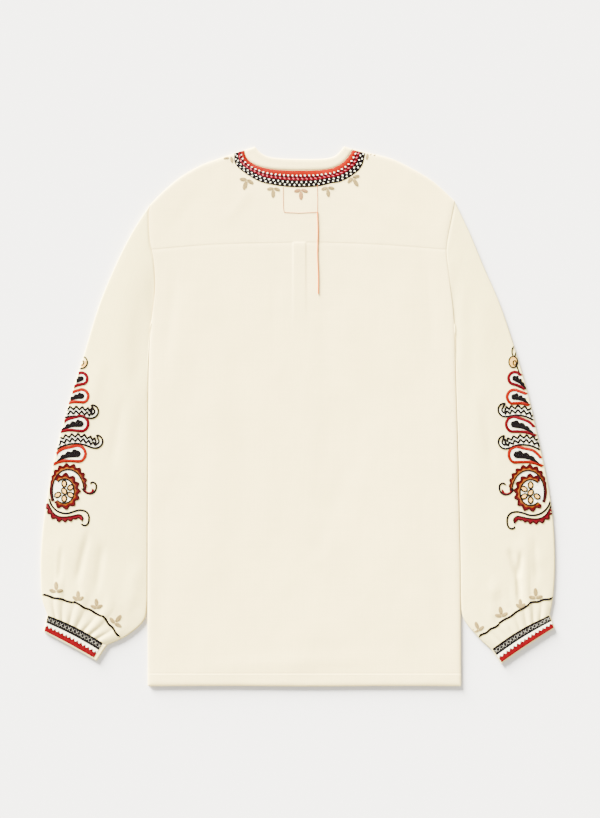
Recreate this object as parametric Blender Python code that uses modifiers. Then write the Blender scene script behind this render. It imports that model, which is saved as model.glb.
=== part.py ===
"""An embroidered blouse laid out flat on its front, with its back upwards.

The neck points to +Y, the hem to -Y, and the cloth lies on the plane z = 0. The wearer's left is at -X.
Tables hold millimetres. Vertices are scaled to metres when a mesh is made.
"""

from collections import namedtuple

import bmesh
import bpy
import numpy as np

MM = 0.001

# Cloth
CLOTH = 1.5
CUFF_CLOTH = 1.6
SEAM_GAP = 0.3
SLEEVE_TO_SIDE = 0.6
FRONT_INSET = 0.7

# Heights of the upper surface of the back above the table
BACK_LEVEL = 4.7
ARMHOLE_LEVEL = 4.3
LAPPED_EDGE = 2 * CLOTH + SEAM_GAP
UNDERARM_RISE = 30.0
EDGE_ROLL = 13.0
BAND_ROLL = 6.0
BAND_SHARES = (0, 0.3, 0.7, 1)

# Sleeve and cuff tubes, pressed flat: half their thickness at the folded edges
SLEEVE_FOLD = 1.9
CUFF_FOLD = 2.1

# Spacing of the grid: places near an edge, where it rolls down, and counts elsewhere
EDGE_STATIONS = (0, 1.2, 4.0, 9.0)
BACK_COLUMNS = 10
SIDE_ROWS = 11
ARMHOLE_ROWS = 12
YOKE_ROWS = 9
SHOULDER_COLUMNS = 11
NECK_COLUMNS = 21
OUTLINE_POINTS = 20

# Body outline
HEM_Y = -418.0
SIDE_LEFT = [(-232.3, HEM_Y), (-232.4, -285), (-232.0, -130), (-231.3, 25), (-230.0, 97), (-227.4, 141.4)]
SIDE_RIGHT = [(252.6, HEM_Y), (251.9, -262), (250.9, -192), (247.9, -52), (244.9, 51), (243.2, 139.9)]
ARMHOLE_LEFT = [
    (-229.0, 327.4), (-230.4, 310), (-229.0, 273), (-223.5, 246), (-220.8, 215), (-221.6, 188), (-227.4, 141.4),
]
ARMHOLE_RIGHT = [
    (242.5, 334.0), (237.9, 309), (232.6, 283), (229.4, 258), (232.0, 232), (236.8, 193), (243.2, 139.9),
]
SHOULDER_LEFT = [(-229.0, 327.4), (-207.3, 349.1), (-181, 370.8), (-151.5, 387.9), (-126.7, 397.6), (-82.5, 412.2)]
SHOULDER_RIGHT = [(85.6, 413.6), (105.8, 408.8), (135.2, 401.8), (158.5, 393.0), (205, 366.8), (242.5, 334.0)]

# Neck
NECK_SEAM = [(-82.5, 412.2), (-79.6, 401.8), (-70.3, 392.5), (-55.4, 385.9), (-30.8, 382.1), (4.9, 381.0),
             (42.2, 382.3), (61.3, 387.9), (74.5, 398.1), (85.6, 413.6)]
NECKLINE = [(-66.3, 417.4), (-57.8, 408.2), (-45.8, 402.2), (-30.8, 399.7), (-4.6, 398.4), (32.9, 398.5),
            (51.8, 400.8), (62.0, 406.4), (72.0, 418.0)]
FRONT_NECK_SEAM = [(-82.5, 412.2), (-72, 372), (-50, 334), (-22, 316)]
FRONT_NECKLINE = [(-66.3, 417.4), (-57, 380), (-39, 347), (-19, 333)]
CENTRE_X = 2.0
SLIT_HALF_TOP = 1.2
SLIT_HALF_FOOT = 0.4
SLIT_TOP_Y = 312.8
SLIT_FOOT_Y = 158.0
FRONT_BAND_DEPTH = 17.0

# Yoke seam and the box pleat below it
YOKE_SEAM = [(-225.8, 257.5), (-128.3, 265.4), (-20, 268.0), (34.5, 268.4), (127.5, 265.2), (229.4, 257.5)]
PLEAT_X = -1.0
PLEAT_HALF = 12.0
PLEAT_STEP = 1.6
PLEAT_HEIGHT = 1.3
PLEAT_LENGTH = 150.0
PLEAT_SPREAD = 7.0
PLEAT_SOFTENING = 6.0
PLEAT_ABOVE_SEAM = 14.0

# Soft folds of the back
Fold = namedtuple("Fold", "foot_x foot_y head_x head_y half_width height")
BACK_FOLDS = [
    (-150, -330, -120, 120, 34, 0.5),
    (-70, -250, -95, 200, 26, -0.4),
    (-30, -390, 60, -300, 40, 0.5),
    (60, -200, 45, 40, 28, -0.6),
    (150, -360, 170, 60, 36, 0.6),
    (190, -40, 205, 200, 24, -0.4),
    (-200, -30, -170, 220, 26, 0.5),
    (110, 20, 80, 210, 30, 0.4),
]

FOLD_TAPER = 1.5

# Sleeves: a row for each section, from the armhole to the cuff. The outer end lies on the outer fold. The inner end
# lies beside the body, or below the body's side when it stands off from it. Puff is the rise of the middle.
Section = namedtuple("Section", "outer_x outer_y inner_off_side inner_y puff")
SLEEVE_LEFT = [
    (-229.0, 327.4, 0.0, 141.4, 0.5),
    (-256.9, 284.0, 0.0, 110.0, 1.0),
    (-283.0, 232.0, 0.0, 70.0, 1.4),
    (-308.1, 170.9, 0.0, 22.0, 1.6),
    (-330.4, 98.0, 0.0, -35.0, 1.7),
    (-351.5, 31.4, 0.0, -90.0, 1.8),
    (-370.0, -36.0, 0.0, -145.0, 1.8),
    (-384.0, -101.0, 0.0, -200.0, 1.8),
    (-393.5, -161.0, 0.0, -250.0, 1.9),
    (-398.0, -215.0, 0.6, -292.0, 2.0),
    (-398.0, -254.0, 6.0, -317.0, 2.0),
    (-396.0, -283.0, 32.0, -340.0, 1.8),
    (-387.9, -307.3, 62.5, -354.6, 1.0),
]
SLEEVE_RIGHT = [
    (242.5, 334.0, 0.0, 139.9, 0.5),
    (266.0, 284.5, 0.0, 110.0, 1.0),
    (288.0, 231.5, 0.0, 70.0, 1.4),
    (312.5, 175.0, 0.0, 22.0, 1.6),
    (336.5, 104.0, 0.0, -35.0, 1.7),
    (356.5, 35.0, 0.0, -90.0, 1.8),
    (373.0, -36.5, 0.0, -145.0, 1.8),
    (386.5, -100.5, 0.0, -200.0, 1.8),
    (395.2, -160.0, 0.0, -250.0, 1.9),
    (398.0, -215.0, 0.3, -290.0, 2.0),
    (397.4, -252.0, 5.0, -315.0, 2.0),
    (395.0, -282.0, 26.0, -341.5, 1.8),
    (390.2, -307.3, 46.5, -360.8, 1.0),
]

PUFF_FULLNESS = 0.7
ARMHOLE_SECTIONS = 3
CUFF_SECTIONS = 3

# Gathers into the cuff: the place across the sleeve from the outer fold, the height, and the reach up the sleeve
Gather = namedtuple("Gather", "place height reach")
GATHERS_LEFT = [
    (0.07, 1.2, 70), (0.17, 1.5, 150), (0.29, 1.3, 60), (0.41, 1.5, 130),
    (0.54, 1.3, 50), (0.66, 1.5, 110), (0.78, 1.4, 40), (0.90, 1.3, 60),
]
GATHERS_RIGHT = [
    (0.08, 1.2, 60), (0.20, 1.3, 40), (0.31, 1.7, 160), (0.43, 1.4, 110),
    (0.55, 1.3, 50), (0.67, 1.4, 60), (0.79, 1.3, 50), (0.91, 1.2, 80),
]
GATHER_SINK = 0.4
GATHER_SINK_REACH = 60.0

# Cuffs: the ends of the lower edge, from the outer side to the inner side
CUFF_EDGE_LEFT = [(-393.6, -333.0), (-311.2, -378.4)]
CUFF_EDGE_RIGHT = [(397.6, -327.6), (315.0, -383.0)]
CUFF_BOW = 3.6
CUFF_RISE = 0.3
CUFF_EDGE_BOW = 0.2
CUFF_DEPTHS = (0, 0.12, 0.5, 0.88, 1)
CUFF_TOP_POINTS = 15
UNDER_POINTS = 9

# The fold at each side of a tube is round: this is the turn from its end to the next point
FOLD_ACROSS = 0.3
FOLD_UP = 0.7

CREAM = (0.905, 0.847, 0.730, 1.0)
CREAM_INSIDE = (0.86, 0.79, 0.66, 1.0)


def clear_scene():
    for obj in list(bpy.data.objects):
        bpy.data.objects.remove(obj, do_unlink=True)


def cloth_material(name, colour):
    material = bpy.data.materials.new(name)
    material.use_nodes = True
    shader = material.node_tree.nodes["Principled BSDF"]
    shader.inputs["Base Color"].default_value = colour
    shader.inputs["Roughness"].default_value = 0.9
    shader.inputs["Metallic"].default_value = 0.0
    return material


def curve_through(points):
    """A function of 0 to 1 that runs at an even pace along a smooth curve through the points."""
    p = np.array(points, float)
    ends = np.vstack([2 * p[0] - p[1], p, 2 * p[-1] - p[-2]])
    dense = []
    for a, b, c, d in zip(ends, ends[1:], ends[2:], ends[3:]):
        for s in np.linspace(0, 1, 16, endpoint=False):
            cubic = 2 * b + (c - a) * s + (2 * a - 5 * b + 4 * c - d) * s**2 + (3 * b - a - 3 * c + d) * s**3
            dense.append(cubic / 2)
    dense = np.array(dense + [p[-1]])
    pace = np.r_[0, np.cumsum(np.linalg.norm(np.diff(dense, axis=0), axis=1))]
    return lambda t: np.array([np.interp(t, pace / pace[-1], column) for column in dense.T]).T


def shifted(points, distance):
    """An open line of points moved sideways, to its left for a positive distance."""
    p = np.array(points, float)
    along = np.gradient(p, axis=0)
    along /= np.linalg.norm(along, axis=1)[:, None]
    return p + distance * np.column_stack([-along[:, 1], along[:, 0]])


def smooth_step(t):
    t = np.clip(t, 0, 1)
    return t * t * (3 - 2 * t)


def rolled(distance, width):
    """0 at an edge, rising like a quarter circle to 1 at the given width."""
    t = np.clip(distance / width, 0, 1)
    return np.sqrt(1 - (1 - t) ** 2)


def patch(bottom, top, left, right):
    """Points inside four lines of points that share their corners: a grid of rows from bottom to top."""
    columns = np.linspace(0, 1, len(bottom))[None, :, None]
    rows = np.linspace(0, 1, len(left))[:, None, None]
    bottom, top = np.array(bottom)[None], np.array(top)[None]
    left, right = np.array(left)[:, None], np.array(right)[:, None]
    corners = (
        (1 - rows) * ((1 - columns) * left[0] + columns * right[0])
        + rows * ((1 - columns) * left[-1] + columns * right[-1])
    )
    return (1 - rows) * bottom + rows * top + (1 - columns) * left + columns * right - corners


def edge_distances(grid):
    """How far each point of a grid lies from its left, right, bottom and top lines."""
    return [
        np.linalg.norm(grid - edge, axis=2)
        for edge in (grid[:, :1], grid[:, -1:], grid[:1], grid[-1:])
    ]


def piece_from(name, mesh, material):
    mesh.shade_smooth()
    mesh.materials.append(material)
    return bpy.data.objects.new(name, mesh)


def sheet(name, grid, material):
    """A cloth piece from a grid of points on its upper side, given its thickness below them."""
    mesh = bpy.data.meshes.new(name)
    bm = bmesh.new()
    rows, columns = grid.shape[:2]
    bmesh.ops.create_grid(bm, x_segments=columns - 1, y_segments=rows - 1, size=1)
    for vert, point in zip(bm.verts, grid.reshape(-1, 3)):
        vert.co = point * MM
    bm.to_mesh(mesh)
    bm.free()
    obj = piece_from(name, mesh, material)
    wall = obj.modifiers.new("Wall", "SOLIDIFY")
    wall.thickness = CLOTH * MM
    wall.offset = -1
    return obj


def tube(name, sections, material):
    """A cloth tube lofted through sections, each with a ring of points outside and one inside."""
    mesh = bpy.data.meshes.new(name)
    bm = bmesh.new()
    outside = [[bm.verts.new(np.array(point) * MM) for point in outer] for outer, _ in sections]
    inside = [[bm.verts.new(np.array(point) * MM) for point in inner] for _, inner in sections]

    def band(first, second):
        for a, b, c, d in zip(first, first[1:] + first[:1], second[1:] + second[:1], second):
            bm.faces.new((a, b, c, d))

    for lower, upper in zip(outside, outside[1:]):
        band(lower, upper)
    for lower, upper in zip(inside, inside[1:]):
        band(upper, lower)
    band(inside[0], outside[0])
    band(outside[-1], inside[-1])
    bm.to_mesh(mesh)
    bm.free()
    return piece_from(name, mesh, material)


def inset(outline, distance):
    """A closed outline moved inwards. It runs anticlockwise, or is turned to do so first."""
    p = np.array(outline, float)
    following = np.roll(p, -1, axis=0)
    if np.sum(p[:, 0] * following[:, 1] - following[:, 0] * p[:, 1]) < 0:
        p = p[::-1]
    side = np.roll(p, -1, axis=0) - p
    side /= np.linalg.norm(side, axis=1)[:, None]
    inward = np.column_stack([-side[:, 1], side[:, 0]])
    before = np.roll(inward, 1, axis=0)
    corner = inward + before
    corner /= np.maximum(np.sum(corner * inward, axis=1), 0.3)[:, None]
    return p + distance * corner


def flat_piece(name, outline, material):
    """A cloth piece that lies flat on the table, cut to an outline."""
    curve = bpy.data.curves.new(name, "CURVE")
    curve.dimensions = "2D"
    curve.fill_mode = "BOTH"
    curve.extrude = CLOTH / 2 * MM
    spline = curve.splines.new("POLY")
    spline.points.add(len(outline) - 1)
    for point, (x, y) in zip(spline.points, outline):
        point.co = (x * MM, y * MM, 0, 1)
    spline.use_cyclic_u = True
    curve.materials.append(material)
    obj = bpy.data.objects.new(name, curve)
    obj.location.z = CLOTH / 2 * MM
    return obj


def pleat_height(x, y):
    """The box pleat stands proud at the yoke seam, and opens out and flattens below it."""
    below = np.clip((YOKE_SEAM[2][1] - y) / PLEAT_LENGTH, 0, 1)
    above = np.clip((y - YOKE_SEAM[2][1]) / PLEAT_ABOVE_SEAM, 0, 1)
    half = PLEAT_HALF + PLEAT_SPREAD * below
    step = PLEAT_STEP + PLEAT_SOFTENING * below
    inside = smooth_step((half + PLEAT_STEP / 2 - np.abs(x - PLEAT_X)) / step)
    return PLEAT_HEIGHT * inside * (1 - smooth_step(below)) * (1 - smooth_step(above))


def fold_height(x, y, folds):
    """The sum of soft ridges and troughs, each along its own line."""
    total = np.zeros_like(x)
    for fold in map(Fold._make, folds):
        run_x, run_y = fold.head_x - fold.foot_x, fold.head_y - fold.foot_y
        length = np.hypot(run_x, run_y)
        along = ((x - fold.foot_x) * run_x + (y - fold.foot_y) * run_y) / length**2
        across = ((y - fold.foot_y) * run_x - (x - fold.foot_x) * run_y) / length
        fading = smooth_step(FOLD_TAPER * (1 - np.abs(2 * along - 1)))
        total += fold.height * np.exp(-((across / fold.half_width) ** 2)) * fading
    return total


def back_level(x, y):
    return BACK_LEVEL + fold_height(x, y, BACK_FOLDS)


def raised_grid(grid, edge_levels, roll=EDGE_ROLL):
    """Adds heights to a flat grid: the level of the back, rolled down to the height given for each edge."""
    x, y = grid[..., 0], grid[..., 1]
    level = back_level(x, y)
    height = level.copy()
    for distance, edge_level in zip(edge_distances(grid), edge_levels):
        if edge_level is not None:
            height = np.minimum(height, edge_level + (level - edge_level) * rolled(distance, roll))
    return np.dstack([grid, height + pleat_height(x, y)])


def side_levels(grid):
    """The body's edge lies low at the side seam and higher at the armhole, where the sleeve carries it."""
    up_armhole = smooth_step((grid[..., 1] - SIDE_LEFT[-1][1]) / UNDERARM_RISE)
    return LAPPED_EDGE + (ARMHOLE_LEVEL - LAPPED_EDGE) * up_armhole


def armhole_share(armhole, y):
    """Where along an armhole, from its shoulder end, a height is reached."""
    places = np.linspace(0, 1, 400)
    heights = np.array([armhole(t)[1] for t in places])
    return float(np.interp(-y, -heights, places))


def yoke_seam_stations():
    """Columns of the back and yoke: close at the armholes and on the two steps of the pleat."""
    width = YOKE_SEAM[-1][0] - YOKE_SEAM[0][0]
    pleat = (PLEAT_X - YOKE_SEAM[0][0]) / width
    near = np.array(EDGE_STATIONS) / width
    steps = np.array((PLEAT_HALF - PLEAT_STEP / 2, PLEAT_HALF + PLEAT_STEP / 2, PLEAT_HALF + PLEAT_SPREAD)) / width
    left = np.linspace(near[-1], pleat - steps[-1], BACK_COLUMNS)[1:-1]
    right = np.linspace(pleat + steps[-1], 1 - near[-1], BACK_COLUMNS)[1:-1]
    middle = np.r_[pleat - steps[::-1], pleat, pleat + steps]
    return np.concatenate([near, left, middle, right, (1 - near)[::-1]])


def make_back(material, armhole_left, armhole_right):
    columns = yoke_seam_stations()
    seam = curve_through(YOKE_SEAM)(columns)
    left_join = armhole_share(armhole_left, YOKE_SEAM[0][1])
    right_join = armhole_share(armhole_right, YOKE_SEAM[-1][1])
    near_hem = np.array(EDGE_STATIONS) / (SIDE_LEFT[-1][1] - HEM_Y)
    side_rows = np.r_[near_hem[:-1], np.linspace(near_hem[-1], 1, SIDE_ROWS)]
    armhole_rows = np.linspace(1, 0, ARMHOLE_ROWS)[1:]
    left = np.vstack([
        curve_through(SIDE_LEFT)(side_rows),
        armhole_left(left_join + (1 - left_join) * armhole_rows),
    ])
    right = np.vstack([
        curve_through(SIDE_RIGHT)(side_rows),
        armhole_right(right_join + (1 - right_join) * armhole_rows),
    ])
    top = seam - (0, SEAM_GAP / 2)
    left[-1], right[-1] = top[0], top[-1]
    hem_run = SIDE_RIGHT[0][0] - SIDE_LEFT[0][0]
    bottom = np.column_stack([SIDE_LEFT[0][0] + hem_run * columns, np.full(len(columns), HEM_Y)])
    grid = patch(bottom, top, left, right)
    levels = side_levels(grid)
    return sheet("back", raised_grid(grid, (levels, levels, LAPPED_EDGE, None)), material)


def make_yoke(material, armhole_left, armhole_right, neck_seam):
    shoulder_left = curve_through(SHOULDER_LEFT)(np.linspace(0, 1, SHOULDER_COLUMNS))
    shoulder_right = curve_through(SHOULDER_RIGHT)(np.linspace(0, 1, SHOULDER_COLUMNS))
    neck = shifted(neck_seam, -SEAM_GAP)
    top = np.vstack([shoulder_left[:-1], neck, shoulder_right[1:]])
    left_join = armhole_share(armhole_left, YOKE_SEAM[0][1])
    right_join = armhole_share(armhole_right, YOKE_SEAM[-1][1])
    rows = np.linspace(1, 0, YOKE_ROWS)
    left = armhole_left(left_join * rows)
    right = armhole_right(right_join * rows)
    share = np.r_[0, np.cumsum(np.linalg.norm(np.diff(top, axis=0), axis=1))]
    along_seam = (share / share[-1] + np.linspace(0, 1, len(top))) / 2
    bottom = curve_through(YOKE_SEAM)(along_seam) + (0, SEAM_GAP / 2)
    left[0], right[0] = bottom[0], bottom[-1]
    left[-1], right[-1] = top[0], top[-1]
    grid = patch(bottom, top, left, right)
    return sheet("yoke", raised_grid(grid, (ARMHOLE_LEVEL, ARMHOLE_LEVEL, None, LAPPED_EDGE)), material)


def make_neck_band_back(material, neck_seam, neckline):
    strip = np.array([neck_seam + (neckline - neck_seam) * share for share in BAND_SHARES])
    return sheet("neck_band_back", raised_grid(strip, (LAPPED_EDGE,) * 4, BAND_ROLL), material)


def mirrored_across_centre(points):
    return [(2 * CENTRE_X - x, y) for x, y in points]


def make_front(material, armhole_left, armhole_right):
    """The front lies under the back. Its neck is deeper, with a slit down the middle for the head."""
    hem = [SIDE_LEFT[0], SIDE_RIGHT[0]]
    forward, backward = np.linspace(0, 1, OUTLINE_POINTS), np.linspace(1, 0, OUTLINE_POINTS)
    side_right = curve_through(SIDE_RIGHT)(forward)[1:]
    side_left = curve_through(SIDE_LEFT)(backward)[1:-1]
    up = armhole_right(backward)[1:]
    down = armhole_left(forward)
    shoulder_right = curve_through(SHOULDER_RIGHT)(backward)[1:-1]
    shoulder_left = curve_through(SHOULDER_LEFT)(backward)[1:-1]
    half = shifted(curve_through(FRONT_NECK_SEAM)(forward), -SEAM_GAP)
    slit_left = [(CENTRE_X - SLIT_HALF_TOP, SLIT_TOP_Y), (CENTRE_X - SLIT_HALF_FOOT, SLIT_FOOT_Y)]
    slit_right = mirrored_across_centre(slit_left)
    neck = [*mirrored_across_centre(half), *slit_right, *slit_left[::-1], *half[::-1]]
    outline = [*hem, *side_right, *up, *shoulder_right, *neck, *shoulder_left, *down, *side_left]
    return flat_piece("front", inset(outline, FRONT_INSET), material)


def make_front_band(name, material, mirrored):
    """Half of the band round the front neck, from the shoulder to the slit."""
    forward = np.linspace(0, 1, OUTLINE_POINTS)
    outer = [*curve_through(FRONT_NECK_SEAM)(forward), (CENTRE_X - SLIT_HALF_TOP, SLIT_TOP_Y)]
    inner = [*curve_through(FRONT_NECKLINE)(forward), (CENTRE_X - SLIT_HALF_TOP, SLIT_TOP_Y + FRONT_BAND_DEPTH)]
    outline = [*outer, *inner[::-1]]
    return flat_piece(name, mirrored_across_centre(outline) if mirrored else outline, material)


def section_places(last):
    """Sections made from a sleeve table: its rows, and places between them, closer at the armhole and gathers."""
    return np.concatenate([
        np.arange(0, 2, 0.5), np.arange(2, last - 3), [last - 3, last - 2.5], np.linspace(last - 2, last, 7),
    ])


def crests_and_troughs(gathers):
    crests = [Gather(*row).place for row in gathers]
    return crests, [0.0, *[(a + b) / 2 for a, b in zip(crests, crests[1:])], 1.0]


def gather_columns(gathers):
    """Places across the sleeve's upper layer: each gather's crest, the trough beside it, and the slopes."""
    crests, troughs = crests_and_troughs(gathers)
    turning = sorted(crests + troughs)
    slopes = [(a + b) / 2 for a, b in zip(turning, turning[1:])]
    return np.array(sorted(turning + slopes))


def gather_height(places, gathers, above_cuff):
    """Height of the gathers at places across the sleeve, at a distance above the cuff seam."""
    _, troughs = crests_and_troughs(gathers)
    total = np.zeros(len(places))
    for gather, low, high in zip(map(Gather._make, gathers), troughs, troughs[1:]):
        half = np.where(places < gather.place, gather.place - low, high - gather.place)
        bump = np.cos(np.pi * np.clip((places - gather.place) / half, -1, 1)) / 2 + 0.5
        total += gather.height * bump * (1 - smooth_step(above_cuff / gather.reach))
    return total


def side_reader(side):
    """A function that reads the x of a side seam at a height."""
    line = curve_through(side)(np.linspace(0, 1, 200))
    return lambda y: np.interp(y, line[:, 1], line[:, 0])


def section_reader(table, side, outward):
    """A function that gives the outer end, the inner end and the rise of a sleeve's section."""
    smooth_row = curve_by_row(np.array(table, float))
    side_x = side_reader(side)

    def section(place):
        row = Section(*smooth_row(place))
        gap = SEAM_GAP + (SLEEVE_TO_SIDE - SEAM_GAP) * smooth_step(place)
        inner_x = side_x(row.inner_y) + outward * (gap + max(row.inner_off_side, 0))
        outer_x = row.outer_x + outward * SEAM_GAP * (place == 0)
        return np.array([outer_x, row.outer_y]), np.array([inner_x, row.inner_y]), row.puff

    return section


def away_from_body(outer, inner):
    """The direction across a cuff, from the sleeve to the hand."""
    run = (inner - outer) / np.linalg.norm(inner - outer)
    across = np.array([run[1], -run[0]])
    return across * -np.sign(across[1])


def pressed_section(across, width, half_thick, cloth, top_shares, top_heights, outward):
    """The two rings of a tube pressed flat: rounded folds at its ends, a shaped upper layer, a flat lower layer."""
    edge = half_thick / width
    top = edge + top_shares * (1 - 2 * edge)
    under = np.linspace(1 - edge, edge, UNDER_POINTS)
    rings = []
    for inset_by in (0, cloth):
        radius = half_thick - inset_by
        fold = inset_by / width
        near = fold + FOLD_ACROSS * radius / width
        high, low = half_thick + FOLD_UP * radius, half_thick - FOLD_UP * radius
        ring = [(*across(fold), half_thick), (*across(near), high)]
        ring += [(*across(share), height - inset_by) for share, height in zip(top, top_heights)]
        ring += [(*across(1 - near), high), (*across(1 - fold), half_thick), (*across(1 - near), low)]
        ring += [(*across(share), inset_by) for share in under]
        ring += [(*across(near), low)]
        rings.append(ring if outward < 0 else ring[::-1])
    return rings


def make_sleeve(name, material, table, gathers, armhole, side, outward):
    """A tube pressed flat, cut to the armhole at one end and gathered into the cuff at the other."""
    section = section_reader(table, side, outward)
    last = len(table) - 1
    cuff_outer, cuff_inner, _ = section(last)
    cuff_bow_way = away_from_body(cuff_outer, cuff_inner) * -1
    seam_start, seam_end = armhole(0), armhole(1)
    columns = gather_columns(gathers)
    sections = []
    for place in section_places(last):
        outer, inner, puff = section(place)
        bow_armhole = 1 - smooth_step(place / ARMHOLE_SECTIONS)
        bow_cuff = smooth_step((place - last + CUFF_SECTIONS) / CUFF_SECTIONS) * CUFF_BOW
        to_cuff = (np.linalg.norm(cuff_outer - outer) + np.linalg.norm(cuff_inner - inner)) / 2

        def across(share):
            chord = seam_start + (seam_end - seam_start) * share
            bow = (armhole(share) - chord) * bow_armhole + cuff_bow_way * bow_cuff * np.sin(np.pi * share)
            return outer + (inner - outer) * share + bow

        middle = np.sin(np.pi * columns)
        sunk = GATHER_SINK * (1 - smooth_step(to_cuff / GATHER_SINK_REACH)) * middle
        gathered = gather_height(columns, gathers, to_cuff)
        heights = 2 * SLEEVE_FOLD + puff * middle**PUFF_FULLNESS - sunk + gathered
        width = np.linalg.norm(inner - outer)
        sections.append(pressed_section(across, width, SLEEVE_FOLD, CLOTH, columns, heights, outward))
    return tube(name, sections[::-1], material)


def curve_by_row(rows):
    """A function of the row number that runs smoothly through the rows of a table."""
    ends = np.vstack([2 * rows[0] - rows[1], rows, 2 * rows[-1] - rows[-2]])

    def at(place):
        k = min(int(place), len(rows) - 2)
        s = place - k
        a, b, c, d = ends[k:k + 4]
        return (2 * b + (c - a) * s + (2 * a - 5 * b + 4 * c - d) * s**2 + (3 * b - a - 3 * c + d) * s**3) / 2

    return at


def make_cuff(name, material, table, side, edge_ends, outward):
    """The band round the wrist, pressed flat, sewn to the end of the sleeve."""
    seam_outer, seam_inner, _ = section_reader(table, side, outward)(len(table) - 1)
    down = away_from_body(seam_outer, seam_inner)
    edge_outer, edge_inner = np.array(edge_ends, float)
    shares = np.linspace(0, 1, CUFF_TOP_POINTS)
    heights = 2 * CUFF_FOLD + CUFF_RISE * np.sin(np.pi * shares)
    sections = []
    for depth in CUFF_DEPTHS:
        start = seam_outer + (edge_outer - seam_outer) * depth + down * SEAM_GAP
        end = seam_inner + (edge_inner - seam_inner) * depth + down * SEAM_GAP
        bow = CUFF_BOW * (1 - (1 - CUFF_EDGE_BOW) * depth)

        def across(share):
            return start + (end - start) * share - down * bow * np.sin(np.pi * share)

        width = np.linalg.norm(end - start)
        sections.append(pressed_section(across, width, CUFF_FOLD, CUFF_CLOTH, shares, heights, outward))
    return tube(name, sections[::-1], material)


def main():
    clear_scene()
    blouse = bpy.data.collections.new("embroidered_blouse")
    bpy.context.scene.collection.children.link(blouse)
    cream = cloth_material("cream_linen", CREAM)
    inside = cloth_material("cream_linen_front", CREAM_INSIDE)

    armhole_left = curve_through(ARMHOLE_LEFT)
    armhole_right = curve_through(ARMHOLE_RIGHT)
    neck_seam = curve_through(NECK_SEAM)(np.linspace(0, 1, NECK_COLUMNS))
    neckline = curve_through(NECKLINE)(np.linspace(0, 1, NECK_COLUMNS))
    pieces = [
        make_front(inside, armhole_left, armhole_right),
        make_back(cream, armhole_left, armhole_right),
        make_yoke(cream, armhole_left, armhole_right, neck_seam),
        make_neck_band_back(cream, neck_seam, neckline),
        make_front_band("neck_band_front_left", cream, mirrored=False),
        make_front_band("neck_band_front_right", cream, mirrored=True),
        make_sleeve("sleeve_left", cream, SLEEVE_LEFT, GATHERS_LEFT, armhole_left, SIDE_LEFT, -1),
        make_sleeve("sleeve_right", cream, SLEEVE_RIGHT, GATHERS_RIGHT, armhole_right, SIDE_RIGHT, 1),
        make_cuff("cuff_left", cream, SLEEVE_LEFT, SIDE_LEFT, CUFF_EDGE_LEFT, -1),
        make_cuff("cuff_right", cream, SLEEVE_RIGHT, SIDE_RIGHT, CUFF_EDGE_RIGHT, 1),
    ]
    for piece in pieces:
        blouse.objects.link(piece)


main()
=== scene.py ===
"""The looks of an embroidered linen blouse, laid out flat on its front with its back upwards.

Tables hold millimetres, except where a place is read off the picture, which takes 1.55 mm for each of its dots.
"""

from collections import namedtuple

import bmesh
import bpy
import numpy as np
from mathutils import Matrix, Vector, noise
from mathutils.bvhtree import BVHTree


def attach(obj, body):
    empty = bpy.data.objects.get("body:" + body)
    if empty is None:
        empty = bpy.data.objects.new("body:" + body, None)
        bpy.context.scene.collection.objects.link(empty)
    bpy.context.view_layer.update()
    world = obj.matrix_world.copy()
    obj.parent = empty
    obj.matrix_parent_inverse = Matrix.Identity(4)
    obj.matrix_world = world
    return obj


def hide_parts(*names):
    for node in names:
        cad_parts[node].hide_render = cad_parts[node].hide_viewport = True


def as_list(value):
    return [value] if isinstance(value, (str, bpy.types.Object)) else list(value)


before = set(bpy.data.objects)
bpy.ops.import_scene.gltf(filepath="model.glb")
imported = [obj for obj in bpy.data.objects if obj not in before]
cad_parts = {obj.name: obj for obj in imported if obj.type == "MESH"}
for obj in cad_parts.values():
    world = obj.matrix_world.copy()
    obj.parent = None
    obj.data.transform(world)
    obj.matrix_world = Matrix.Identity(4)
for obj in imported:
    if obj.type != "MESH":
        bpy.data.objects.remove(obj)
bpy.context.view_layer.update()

MM = 0.001
MM_PER_DOT = 1.55
PICTURE_SIZE = (600, 818)
ORIGIN_DOT = (297.75, 416.25)

# Cloth, as in the part's source
CLOTH = 1.5
SHELL = 0.8
CUFF_SHELL = 1.2
SEAM_GAP = 0.3
SLEEVE_TO_SIDE = 0.6
BACK_LEVEL = 4.7
ARMHOLE_LEVEL = 4.3
LAPPED_EDGE = 2 * CLOTH + SEAM_GAP
UNDERARM_RISE = 30.0
EDGE_ROLL = 7.0
BAND_ROLL = 5.0
SLEEVE_FOLD = 1.9
CUFF_FOLD = 2.1

HEM_Y = -418.0
HEM_DEPTH = 19.0
SIDE_LEFT = [(-232.3, HEM_Y), (-232.4, -285), (-232.0, -130), (-231.3, 25), (-230.0, 97), (-227.4, 141.4)]
SIDE_RIGHT = [(252.6, HEM_Y), (251.9, -262), (250.9, -192), (247.9, -52), (244.9, 51), (243.2, 139.9)]
ARMHOLE_LEFT = [
    (-229.0, 327.4), (-230.4, 310), (-229.0, 273), (-223.5, 246), (-220.8, 215), (-221.6, 188), (-227.4, 141.4),
]
ARMHOLE_RIGHT = [
    (242.5, 334.0), (237.9, 309), (232.6, 283), (229.4, 258), (232.0, 232), (236.8, 193), (243.2, 139.9),
]
SHOULDER_LEFT = [(-229.0, 327.4), (-207.3, 349.1), (-181, 370.8), (-151.5, 387.9), (-126.7, 397.6), (-82.5, 412.2)]
SHOULDER_RIGHT = [(85.6, 413.6), (105.8, 408.8), (135.2, 401.8), (158.5, 393.0), (205, 366.8), (242.5, 334.0)]
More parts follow.
